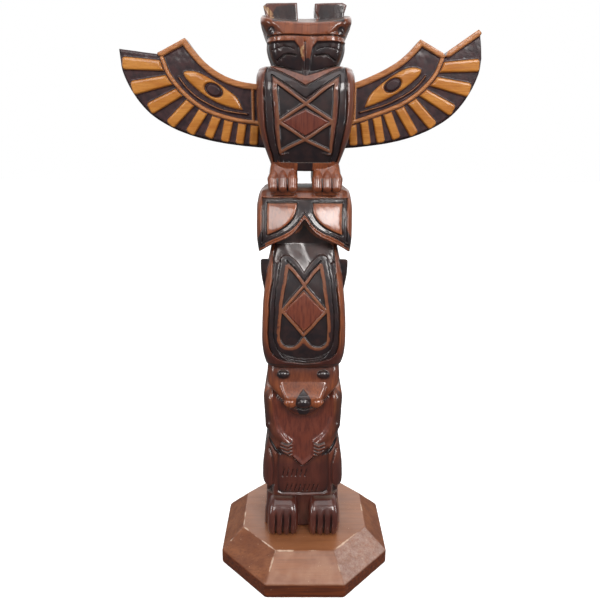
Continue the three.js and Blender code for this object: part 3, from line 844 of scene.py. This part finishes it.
# ---------------------------------------------------------------- the wings
BOX_CORNER = (131.2, 524)
TRAILING = [(30, 439), (62, 441.6), (87, 445.4), (108, 450.6), (127, 458.2), (146, 470.4), (160, 487.5),
            (168.4, 506), (170, 520)]
RIB = [(30, 461), (46, 462.4), (64, 464.8), (80, 468.8), (94, 474.2), (107, 483.2), (117, 493),
       (125.6, 504.6), (130.8, 518)]
LEADING = [(30, 495.6), (48, 496.7), (64, 499.6), (78, 505.2), (90.6, 513.8), (101, 524.6), (109, 535)]
LEAF = [(58.3, 473.6), (63, 483.8), (73, 491.8), (86, 500), (100, 506.4), (111, 506.4), (109, 500),
        (96, 488.4), (82, 480.2), (68, 475.4), (58.3, 473.6)]
UNDER_LEAF = [(54, 470), (66, 471.4), (78, 473.8), (89, 478.4), (100, 484.6), (109, 492.4), (116, 501.4)]
PUPIL = {"middle": (84.6, 490.8), "radii": (9, 5.8), "tilt": 0.44}
# Each feather: its middle at the root and at the tip, and half its width there.
FEATHERS = [
    ((47.2, 460), (48.7, 442.2), (3.8, 4)),
    ((58.6, 462.4), (62.1, 443), (3.9, 3.9)),
    ((71.4, 464.6), (75.9, 445), (4.2, 4)),
    ((82.4, 468), (91.3, 448.6), (4.2, 4.2)),
    ((94.4, 473.2), (108.8, 452.4), (4.4, 4.4)),
    ((105.6, 481), (127, 460), (4.5, 4.7)),
    ((115, 489.6), (145.4, 473.8), (4.1, 5.4)),
    ((122.6, 499.8), (160.4, 492), (4.4, 6.2)),
    ((130.4, 511.6), (167.4, 513.6), (4.3, 5.6)),
]
WINGS = {
    "left_wing": {"side": -1, "stretch": 1, "bow": 0, "tip": [(136, 522.2), (170.4, 526.2)]},
    "right_wing": {"side": 1, "stretch": 0.955, "bow": 5.2,
                   "tip": [(134, 521.4), (136, 525.4), (163.6, 543.4), (166.8, 540.4), (168.8, 530)]},
}


def feather(u, z, root, tip, half):
    """Distance to a feather: a tapering bar with a rounded tip."""
    root, tip = np.array(root), np.array(tip)
    along = (tip - root) / np.linalg.norm(tip - root)
    length = np.linalg.norm(tip - root)
    a = (u - root[0]) * along[0] + (z - root[1]) * along[1]
    b = np.abs((u - root[0]) * along[1] - (z - root[1]) * along[0])
    width = half[0] + (half[1] - half[0]) * np.clip(a / length, 0, 1)
    return corner_of(b - width, np.maximum(a - length, -a - 6), 0.55 * half[1])


def rounding(distance, width):
    """How far a rounded top falls away towards its edge, from 0 to 1."""
    t = 1 - np.clip(-distance / width, 0, 1)
    return 1 - np.sqrt(1 - t ** 2)


def wing_box(side):
    return (LEFT_LOW, LEFT_HIGH) if side < 0 else (RIGHT_LOW, RIGHT_HIGH)


def make_wing(side, stretch, bow, tip):
    """One wing's carving and its distance, over distance from the pole and height."""
    def bowed(points, reach=BOX_CORNER[0]):
        return [(u, z + bow * math.sin(math.pi * min(max((u - 42) / (reach - 42), 0), 1)))
                for u, z in points]
    low, high = wing_box(side)
    front, back = low[1], high[1]
    carving = Carving((28, 432), (178, 548), 0.35, ("gold", "rim"))
    u, z = carving.x[:, None], carving.z[None, :]
    leading = curved(bowed(LEADING, LEADING[-1][0]), 18)
    outline = [*leading, BOX_CORNER, *tip, *curved(TRAILING, 40)[::-1]]
    edge = to_shape(u, z, outline)
    rib_line = curved(bowed(RIB), 24)
    rim = to_line(u, z, leading) - 5.4
    rim = np.minimum(rim, to_line(u, z, [leading[-1], BOX_CORNER]) - 4.6)
    rim = np.minimum(rim, to_line(u, z, rib_line) - 1.75)
    rim = np.minimum(rim, to_line(u, z, [(48.6, 464), (48.6, 494)]) - 1.2)
    if side > 0:
        rim = np.minimum(rim, to_line(u, z, [tip[1], tip[2]]) - 5)
    gold = np.full(rim.shape, FAR)
    for root, end, half in FEATHERS:
        gold = np.minimum(gold, feather(u, z, root, end, half))
    panel = to_shape(u, z, [*leading, BOX_CORNER, *rib_line[::-1]])
    gold = np.maximum(gold, 2.7 - panel)
    leaf = to_shape(u, z, curved(bowed(LEAF), 40)[:-1])
    cos, sin = math.cos(PUPIL["tilt"]), math.sin(PUPIL["tilt"])
    middle = bowed([PUPIL["middle"]])[0]
    a = ((u - middle[0]) * cos + (z - middle[1]) * sin) / PUPIL["radii"][0]
    b = ((z - middle[1]) * cos - (u - middle[0]) * sin) / PUPIL["radii"][1]
    pupil = (np.hypot(a, b) - 1) * PUPIL["radii"][1]
    leaf_ring = np.maximum(leaf, -pupil)
    thin = to_line(u, z, curved(bowed(UNDER_LEAF), 18)) - 0.75
    raised = np.minimum(np.minimum(gold, rim), np.minimum(leaf_ring, thin))
    raised = np.minimum(raised, pupil + 1.3)
    depth = 2 * eased(-0.8, 0.8, raised)
    depth = depth + 0.6 * np.where(gold < 0, rounding(gold, 3), 0)
    depth = depth + 0.8 * np.where(rim < 0, rounding(rim, 2), 0)
    depth = depth + 1.1 * np.where(leaf_ring < 0, rounding(leaf, 5), 0)
    carving.maps["depth"] = depth
    carving.maps["gold"] = np.minimum(gold, leaf_ring)
    carving.maps["rim"] = np.minimum(rim, thin + 0.45)
    carving.maps["edge"] = edge
    body = block(BIRD_BODY, 14, 0)

    def field(x, y, z):
        u = side * x / stretch
        middle, half = (front + back) / 2, (back - front) / 2
        plate = corner_of(carving.at("edge", u, z), np.abs(y - middle) - half, 0.9)
        total = plate + carving.at("depth", u, z) * (1 - eased(front + 3, front + 6, y))
        total = common(total, -1.5 - body(x, y, z), 0.2)
        return total + 0.10 * wobble(x, y, z, 14) + 0.03 * wobble(y, x, z, 4)
    return carving, field


# ---------------------------------------------------------------- the base
# How far out the flat sides and the top's edges lie, and the height where the bevel starts.
BASE = {"diagonal": 130 / math.sqrt(2), "top_half": 67, "top_diagonal": 97.2 / math.sqrt(2), "rim": 15.6}


def base_planes(x, y, z):
    """Distances to the base's sides and bevels, flat faces of an eight-sided block."""
    half, diagonal = BASE_HIGH[0], BASE["diagonal"]
    top, rim = BASE_HIGH[2], BASE["rim"]
    top_half, top_diagonal = BASE["top_half"], BASE["top_diagonal"]
    ax, ay = np.abs(x), np.abs(y)
    slant = (ax + ay) / math.sqrt(2)
    sides = [ax - half, ay - half, slant - diagonal]
    bevels = []
    for out, low, high in ((ax, half, top_half), (ay, half, top_half), (slant, diagonal, top_diagonal)):
        run, rise = low - high, top - rim
        bevels.append(((out - low) * rise + (z - rim) * run) / math.hypot(run, rise))
    return sides, bevels


def base_field(x, y, z):
    sides, bevels = base_planes(x, y, z)
    total = sides[0]
    for plane in sides[1:]:
        total = common(total, plane, 1.5)
    slope = bevels[0]
    for plane in bevels[1:]:
        slope = common(slope, plane, 1.0)
    total = common(total, slope, 1.6)
    total = common(total, z - BASE_HIGH[2] + 0 * total, 1.0)
    total = common(total, BASE_LOW[2] - z + 0 * total, 1.6)
    return total + 0.04 * wobble(x, y, z, 7)


# ---------------------------------------------------------------- from distances to meshes
def surface(field, axes):
    """The triangles of a distance field over a grid that may be finer in places."""
    x, y, z = axes
    values = field(x[:, None, None], y[None, :, None], z[None, None, :]).astype(np.float32)
    values = np.clip(values, -2.5, 2.5)
    grid = openvdb.FloatGrid(2.5)
    grid.copyFromArray(values)
    points, triangles, quads = grid.convertToPolygons(0.0, 0.0)
    points = np.stack([np.interp(points[:, i], np.arange(len(axes[i])), axes[i]) for i in range(3)], 1)
    faces = np.vstack([quads[:, [0, 1, 2]], quads[:, [0, 2, 3]], triangles.reshape(-1, 3)])
    return points, faces


def gradient(field, points, reach=0.15):
    """The way out of the form at each point, not scaled to one."""
    total = []
    for axis in range(3):
        step = np.zeros(3)
        step[axis] = reach
        total.append((field(*(points + step).T) - field(*(points - step).T)) / (2 * reach))
    return np.stack(total, 1)


def settled(field, points, rounds):
    """Points moved onto the form's skin."""
    for _ in range(rounds):
        slope = gradient(field, points)
        size = np.maximum((slope ** 2).sum(1), 0.2)
        shift = np.clip(field(*points.T) / size, -0.4, 0.4)
        points = points - slope * shift[:, None]
    return points


def sculpt(name, field, axes, triangles, offset=0):
    """A mesh object of the form, with no more than that many triangles and normals from the form."""
    points, faces = surface(field, axes)
    points = settled(field, points, 2)
    mesh = bpy.data.meshes.new(name)
    mesh.vertices.add(len(points))
    mesh.vertices.foreach_set("co", points.astype(np.float32).ravel())
    mesh.loops.add(faces.size)
    mesh.loops.foreach_set("vertex_index", faces.astype(np.int32).ravel())
    mesh.polygons.add(len(faces))
    mesh.polygons.foreach_set("loop_start", np.arange(0, faces.size, 3, dtype=np.int32))
    mesh.update(calc_edges=True)
    piece = bpy.data.objects.new(name, mesh)
    bpy.context.scene.collection.objects.link(piece)
    if len(faces) > triangles:
        thin = piece.modifiers.new("thin", "DECIMATE")
        thin.ratio = triangles / len(faces)
        thin.use_collapse_triangulate = True
        settle_modifiers(piece)
    points = coordinates(piece.data)
    points = settled(field, points, 1)
    normals = gradient(field, points)
    normals /= np.linalg.norm(normals, axis=1)[:, None]
    shown = np.clip((points + [offset, 0, 0]) * MM, *CAD_BOX)
    piece.data.vertices.foreach_set("co", shown.astype(np.float32).ravel())
    piece.data.polygons.foreach_set("use_smooth", np.ones(len(piece.data.polygons), bool))
    piece.data.update()
    piece.data.normals_split_custom_set_from_vertices(normals.tolist())
    return piece, points


def settle_modifiers(piece):
    """Turns a piece's modifiers into its mesh."""
    graph = bpy.context.evaluated_depsgraph_get()
    made = bpy.data.meshes.new_from_object(piece.evaluated_get(graph))
    old = piece.data
    piece.modifiers.clear()
    piece.data = made
    bpy.data.meshes.remove(old)
    made.name = piece.name


def coordinates(mesh):
    flat = np.empty(len(mesh.vertices) * 3, np.float32)
    mesh.vertices.foreach_get("co", flat)
    return flat.reshape(-1, 3).astype(float)


def keep(piece, name, values):
    """Stores a value for each point, which the materials read."""
    attribute = piece.data.attributes.new(name, "FLOAT", "POINT")
    attribute.data.foreach_set("value", np.clip(values, -FAR, FAR).astype(np.float32))


# ---------------------------------------------------------------- materials
def srgb(*rgb):
    """A colour from the usual 0 to 255 values."""
    linear = [((c / 255 + 0.055) / 1.055) ** 2.4 if c > 10 else c / 255 / 12.92 for c in rgb]
    return (*linear, 1)


class Finish:
    """A material's node tree, with short ways to add what the finishes share."""

    def __init__(self, name):
        self.material = bpy.data.materials.new(name)
        self.material.use_nodes = True
        self.tree = self.material.node_tree
        self.shader = self.tree.nodes["Principled BSDF"]
        self.place = self.tree.nodes.new("ShaderNodeTexCoord").outputs["Object"]

    def node(self, kind, inputs=(), **settings):
        made = self.tree.nodes.new(kind)
        for key, value in settings.items():
            setattr(made, key, value)
        for key, value in dict(inputs).items():
            self.put(made.inputs[key], value)
        return made

    def put(self, socket, value):
        if isinstance(value, bpy.types.NodeSocket):
            self.tree.links.new(value, socket)
        else:
            socket.default_value = value

    def math(self, operation, a, b=0.0):
        return self.node("ShaderNodeMath", {0: a, 1: b}, operation=operation).outputs[0]

    def times(self, a, b):
        return self.math("MULTIPLY", a, b)

    def about(self, value, size):
        """A noise value, moved to lie around 0 and scaled."""
        return self.times(self.math("SUBTRACT", value, 0.5), size)

    def between(self, value, start, end, low=0.0, high=1.0):
        """Low before start, high after end, smooth between."""
        inputs = {"Value": value, "From Min": start, "From Max": end, "To Min": low, "To Max": high}
        return self.node("ShaderNodeMapRange", inputs, interpolation_type="SMOOTHSTEP").outputs[0]

    def mix(self, share, a, b, way="MIX"):
        made = self.node("ShaderNodeMix", data_type="RGBA", blend_type=way)
        for index, value in ((0, share), (6, a), (7, b)):
            self.put(made.inputs[index], value)
        return made.outputs[2]

    def stored(self, name):
        return self.node("ShaderNodeAttribute", attribute_name=name).outputs["Fac"]

    def grain(self, size, detail=4.0, roughness=0.55, distortion=0.0):
        """Noise whose grains have that size in millimetres along x, y and z."""
        scale = [1 / (MM * s) for s in size]
        place = self.node("ShaderNodeMapping", {"Vector": self.place, "Scale": scale}).outputs[0]
        inputs = {"Vector": place, "Scale": 1.0, "Detail": detail, "Roughness": roughness,
                  "Distortion": distortion}
        return self.node("ShaderNodeTexNoise", inputs).outputs["Fac"]

    def bump(self, height, distance, strength=1.0, under=None):
        inputs = {"Height": height, "Distance": distance * MM, "Strength": strength}
        if under:
            inputs["Normal"] = under
        return self.node("ShaderNodeBump", inputs).outputs[0]

    def finish(self, colour, roughness, normal, **fixed):
        self.put(self.shader.inputs["Base Color"], colour)
        self.put(self.shader.inputs["Roughness"], roughness)
        self.put(self.shader.inputs["Normal"], normal)
        for name, value in fixed.items():
            self.shader.inputs[name.replace("_", " ")].default_value = value
        return self.material


def pole_finish():
    """Brown and black stain under lacquer, rubbed on the edges, with dark glaze and painted shade in the
    hollows, painted shade under the overhangs, and grey on upward faces that is part dust, part painted
    sheen.
    """
    f = Finish("stained_lacquer")
    streaks = f.grain((1.6, 1.6, 26), 5)
    broad = f.grain((14, 14, 60), 3)
    mottle = f.grain((9, 9, 9), 4)
    light = f.mix(f.between(broad, 0.35, 0.65), srgb(128, 66, 38), srgb(158, 86, 46))
    deep = f.mix(f.between(broad, 0.35, 0.65), srgb(72, 34, 28), srgb(92, 46, 36))
    # Darker brown by height: mostly the stain, with painted shade on the whale's lower end and the
    # bear's brow.
    brown = f.mix(f.stored("stain_and_shade"), light, deep)
    brown = f.mix(f.between(streaks, 0.4, 0.68, 0, 0.5), brown, srgb(66, 32, 24))
    red = f.mix(f.between(streaks, 0.4, 0.65), srgb(112, 54, 40), srgb(88, 40, 32))
    base = f.mix(f.between(f.stored("red"), -0.3, 0.5, 0.85, 0), brown, red)
    base = f.mix(f.between(f.stored("line"), -0.6, 0.6, 0.8, 0), base, srgb(122, 76, 52))
    # The dark colour: dark paint by the eyes, lips and shoulders, and painted shade under the whale and
    # around the bear's jaw.
    base = f.mix(f.between(f.stored("dark"), -1.6, 1, 0.75, 0), base, srgb(46, 26, 24))
    edge = f.math("ADD", f.stored("black"), f.about(mottle, 0.7))
    soot = f.mix(f.between(mottle, 0.3, 0.7), srgb(30, 22, 26), srgb(50, 32, 31))
    base = f.mix(f.between(edge, -0.35, 0.45, 1, 0), base, soot)
    # Painted shade: dark brown in the hollow under the flukes.
    cove_shade = f.mix(f.between(mottle, 0.3, 0.7), srgb(44, 28, 27), srgb(68, 41, 37))
    base = f.mix(f.between(f.stored("cove_shade"), -1, 0.5, 1, 0), base, cove_shade)
    # Darker where the carving sinks below its surroundings: partly the dark glaze the piece has in its
    # hollows, partly painted shade.
    base = f.mix(f.between(f.stored("hollow"), 0.15, 1.0, 0, 0.8), base, srgb(30, 20, 20))
    worn = f.times(f.between(f.stored("crest"), 0.08, 0.34), f.between(mottle, 0.38, 0.6))
    worn = f.times(worn, f.between(f.stored("black"), 0, 1))
    worn = f.times(worn, f.between(f.stored("stain_and_shade"), 0.4, 0.9, 1, 0))
    base = f.mix(f.times(worn, 0.4), base, srgb(168, 104, 64))
    tan = f.mix(f.between(streaks, 0.4, 0.62), srgb(176, 140, 100), srgb(128, 88, 54))
    bare = f.math("ADD", f.stored("tan"), f.math("SUBTRACT", mottle, 0.5))
    base = f.mix(f.between(bare, -0.5, 0.4, 0.9, 0), base, tan)
    # Grey on upward faces: part dust, part painted sheen standing in for the reflection of the bright
    # room.
    top = f.between(f.stored("top"), 0.8, 0.96)
    dust_and_sheen = f.times(top, f.between(mottle, 0.3, 0.7, 0.45, 0.75))
    base = f.mix(dust_and_sheen, base, srgb(122, 106, 96))
    gloss = f.between(f.grain((5, 5, 12), 4), 0.3, 0.75, 0.28, 0.46)
    normal = f.bump(streaks, 0.10, 0.35)
    normal = f.bump(f.grain((1.1, 1.1, 1.6), 3), 0.05, 0.25, normal)
    material = f.finish(base, gloss, normal, Coat_Roughness=0.14, Coat_IOR=1.6, Specular_IOR_Level=0.2)
    f.put(f.shader.inputs["Coat Weight"], f.math("SUBTRACT", 1, top))
    f.put(f.shader.inputs["Coat Normal"], f.bump(f.grain((5, 5, 9), 2), 0.12, 0.3))
    return material


def wing_finish():
    """Golden wood, brown rims and dark stained ground under lacquer."""
    f = Finish("wing_lacquer")
    lines = f.grain((26, 1.5, 0.75), 4, 0.6)
    broad = f.grain((30, 8, 7), 3)
    mottle = f.grain((6, 6, 6), 4)
    gold = f.mix(f.between(broad, 0.35, 0.66), srgb(178, 112, 44), srgb(198, 134, 60))
    gold = f.mix(f.between(lines, 0.42, 0.66, 0, 0.5), gold, srgb(160, 88, 28))
    gold = f.mix(f.between(f.stored("gold"), -1.8, 0, 0, 0.35), gold, srgb(128, 66, 26))
    rim = f.mix(f.between(lines, 0.35, 0.7), srgb(192, 130, 82), srgb(148, 88, 50))
    ground = f.mix(f.between(mottle, 0.35, 0.68), srgb(44, 30, 34), srgb(66, 42, 44))
    base = f.mix(f.between(f.stored("rim"), -0.3, 0.35, 1, 0), ground, rim)
    base = f.mix(f.between(f.stored("gold"), -0.3, 0.35, 1, 0), base, gold)
    back = f.mix(f.between(lines, 0.35, 0.7), srgb(128, 74, 40), srgb(96, 52, 30))
    base = f.mix(f.between(f.stored("back"), 0, 2), base, back)
    gloss = f.between(mottle, 0.3, 0.75, 0.3, 0.46)
    normal = f.bump(lines, 0.10, 0.4)
    material = f.finish(base, gloss, normal, Coat_Weight=0.5, Coat_Roughness=0.1,
                        Specular_IOR_Level=0.15)
    f.put(f.shader.inputs["Coat Normal"], f.bump(f.grain((6, 6, 6), 2), 0.1, 0.3))
    return material


def base_finish():
    """Worn satin stain, with the bare wood showing along the edges, and painted sheen lightening the top
    and the front bevels, mixed with dust on the right front one.
    """
    f = Finish("worn_stain")
    lines = f.grain((60, 2.2, 2.2), 5, 0.6)
    broad = f.grain((90, 18, 14), 3)
    mottle = f.grain((14, 14, 14), 5)
    specks = f.grain((1.6, 1.6, 1.6), 3)
    scuffs = f.grain((9, 5, 5), 6, 0.72)
    brown = f.mix(f.between(broad, 0.35, 0.65), srgb(118, 66, 38), srgb(142, 86, 52))
    brown = f.mix(f.between(lines, 0.42, 0.68, 0, 0.45), brown, srgb(92, 48, 28))
    side = f.mix(f.between(lines, 0.35, 0.65), srgb(78, 36, 20), srgb(118, 58, 28))
    base = f.mix(f.stored("side"), brown, side)
    # Painted sheen: the front bevel lighter, where light from the front falls on it.
    base = f.mix(f.times(f.stored("front_bevel_sheen"), f.between(mottle, 0.3, 0.7, 0.2, 0.55)), base,
                 srgb(172, 126, 98))
    # Painted sheen: the top face lighter.
    base = f.mix(f.between(f.stored("flat"), 0, 1, 0, 0.32), base, srgb(166, 112, 74))
    # Grey on the right front bevel: part dust, part painted sheen from the light on the right.
    dust_and_sheen = f.times(f.stored("dust_and_sheen"), f.between(scuffs, 0.3, 0.7, 0.4, 1))
    base = f.mix(f.times(dust_and_sheen, f.between(specks, 0.3, 0.7, 0.5, 0.8)), base,
                 srgb(182, 158, 148))
    worn = f.math("ADD", f.stored("edge"), f.about(mottle, -2.6))
    base = f.mix(f.between(worn, 0.05, 0.6, 0.65, 0), base, srgb(226, 200, 176))
    chips = f.times(f.between(specks, 0.66, 0.7), f.between(mottle, 0.55, 0.6))
    base = f.mix(f.times(chips, 0.7), base, srgb(206, 164, 128))
    gloss = f.between(mottle, 0.3, 0.7, 0.3, 0.46)
    normal = f.bump(lines, 0.12, 0.3)
    normal = f.bump(scuffs, 0.08, 0.3, normal)
    return f.finish(base, gloss, normal, Coat_Weight=0.3, Coat_Roughness=0.22)


# ---------------------------------------------------------------- the pieces
def spaced(low, high, fine, coarse, turn):
    """Grid lines that are fine up to a place and coarser after it."""
    near = np.arange(low, turn, fine)
    return np.concatenate([near, np.arange(near[-1] + fine, high + coarse, coarse)])


# How dark the brown is over height, mostly the stain. 0 is its light brown, and 1 or more its deepest.
# The rise from 218 to 244, on the whale's lower end and the bear's brow under it, is painted shade.
STAIN_AND_SHADE_TONES = ((38, 1.3), (80, 1.2), (118, 1.1), (130, 0.8), (160, 0.75), (174, 0.8), (182, 0.35), (208, 0.25),
         (218, 0.6), (226, 0.75), (232, 1.1), (244, 1.0), (262, 0.35), (300, 0.1), (392, 0.1),
         (400, 0.4), (426, 0.3), (436, 0.9), (495, 0.7), (520, 0.6), (530, 0.25), (544, 0.3), (552, 0.9))


def make_pole():
    margin = 2.4
    axes = (np.arange(-46.9, 47.0, 0.6), spaced(-50.6, 44 + margin, 0.6, 1.3, -22),
            np.arange(FOOT - margin, 560.6, 0.66))
    piece, points = sculpt("lacquered_pole", pole_field, axes, 190000, POLE_X)
    x, y, z = points.T
    behind = FAR * eased(-26, -18, y)
    fin = np.maximum(whale_fins(x, y, z) - 0.3, 33 - np.abs(x))
    for name in COLOURS:
        distance = pole.at(name, x, z) + behind
        keep(piece, name, np.minimum(distance, fin) if name == "black" else distance)
    depth = pole.maps["depth"]
    # How far the carving sinks below its surroundings, which the finish darkens, partly as glaze and
    # partly as painted shade.
    pole.maps["hollow"] = depth - blurred(depth, 8)
    pole.maps["crest"] = blurred(depth, 3) - blurred(depth, 1)
    for name in ("hollow", "crest"):
        keep(piece, name, pole.at(name, x, z) * at_front(y))
    keep(piece, "stain_and_shade", np.interp(z, *zip(*STAIN_AND_SHADE_TONES)))
    normals = np.empty(3 * len(points), np.float32)
    piece.data.vertices.foreach_get("normal", normals)
    # Upward faces: less coat, and grey that is part dust, part painted sheen.
    keep(piece, "top", normals[2::3])
    piece.data.materials.append(pole_finish())
    return piece


def blurred(grid, width):
    """A grid smoothed over that many cells each way."""
    kernel = np.ones(2 * width + 1) / (2 * width + 1)
    for axis in (0, 1):
        for _ in range(2):
            grid = np.apply_along_axis(np.convolve, axis, grid, kernel, "same")
    return grid


def make_wing_piece(node):
    carving, field = make_wing(**WINGS[node])
    side, stretch = WINGS[node]["side"], WINGS[node]["stretch"]
    low, high = wing_box(side)
    margin = 2.4
    axes = (np.arange(low[0] - POLE_X - margin, high[0] - POLE_X + margin, 0.55),
            spaced(low[1] - margin, high[1] + margin, 0.6, 1.2, low[1] + 6),
            np.arange(low[2] - margin, high[2] + margin, 0.55))
    piece, points = sculpt("carved_" + node, field, axes, 110000, POLE_X)
    x, y, z = points.T
    u = side * x / stretch
    for name in ("gold", "rim"):
        keep(piece, name, carving.at(name, u, z) + FAR * eased(low[1] + 3, low[1] + 5, y))
    keep(piece, "back", y - (low[1] + 9))
    piece.data.materials.append(wing_material)
    return piece


def make_base():
    margin = 3
    axes = tuple(np.arange(BASE_LOW[i] - margin, BASE_HIGH[i] + margin, 1.0) for i in range(3))
    piece, points = sculpt("worn_base", base_field, axes, 180000)
    x, y, z = points.T
    sides, bevels = base_planes(x, y, z)
    planes = np.sort(np.stack([*sides, *bevels, z - BASE_HIGH[2], BASE_LOW[2] - z]), axis=0)
    keep(piece, "edge", -planes[-2] + 1.3 * (z < 24))
    keep(piece, "side", eased(-0.6, 0.6, np.max(sides, 0) - np.max(bevels, 0)))
    # The top face, which the finish paints lighter as painted sheen.
    keep(piece, "flat", eased(-0.5, 0, z - BASE_HIGH[2]))
    # The right front bevel, grey in the finish: part dust, part painted sheen.
    facet = bevels[2] - np.maximum(bevels[0], bevels[1])
    sloping = eased(-0.4, 0.6, np.max(bevels, 0) - np.max(sides, 0)) * eased(0.2, 0.8, BASE_HIGH[2] - z)
    keep(piece, "dust_and_sheen", eased(-0.4, 0.8, facet) * sloping * (x > 0) * (y < 0))
    # The front bevel, lighter in the finish as painted sheen.
    facing = bevels[1] - np.maximum(bevels[0], bevels[2])
    keep(piece, "front_bevel_sheen", sloping * eased(-0.4, 0.8, facing) * (y < 0))
    piece.data.materials.append(base_finish())
    return piece


make_camera()
make_studio()
wing_material = wing_finish()
for piece, node, slot in (
        (make_pole(), "carved_pole", "pole_wood"),
        (make_wing_piece("left_wing"), "left_wing", "wing_wood"),
        (make_wing_piece("right_wing"), "right_wing", "wing_wood"),
        (make_base(), "base", "base_wood")):
    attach(piece, "root")
    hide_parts(node)
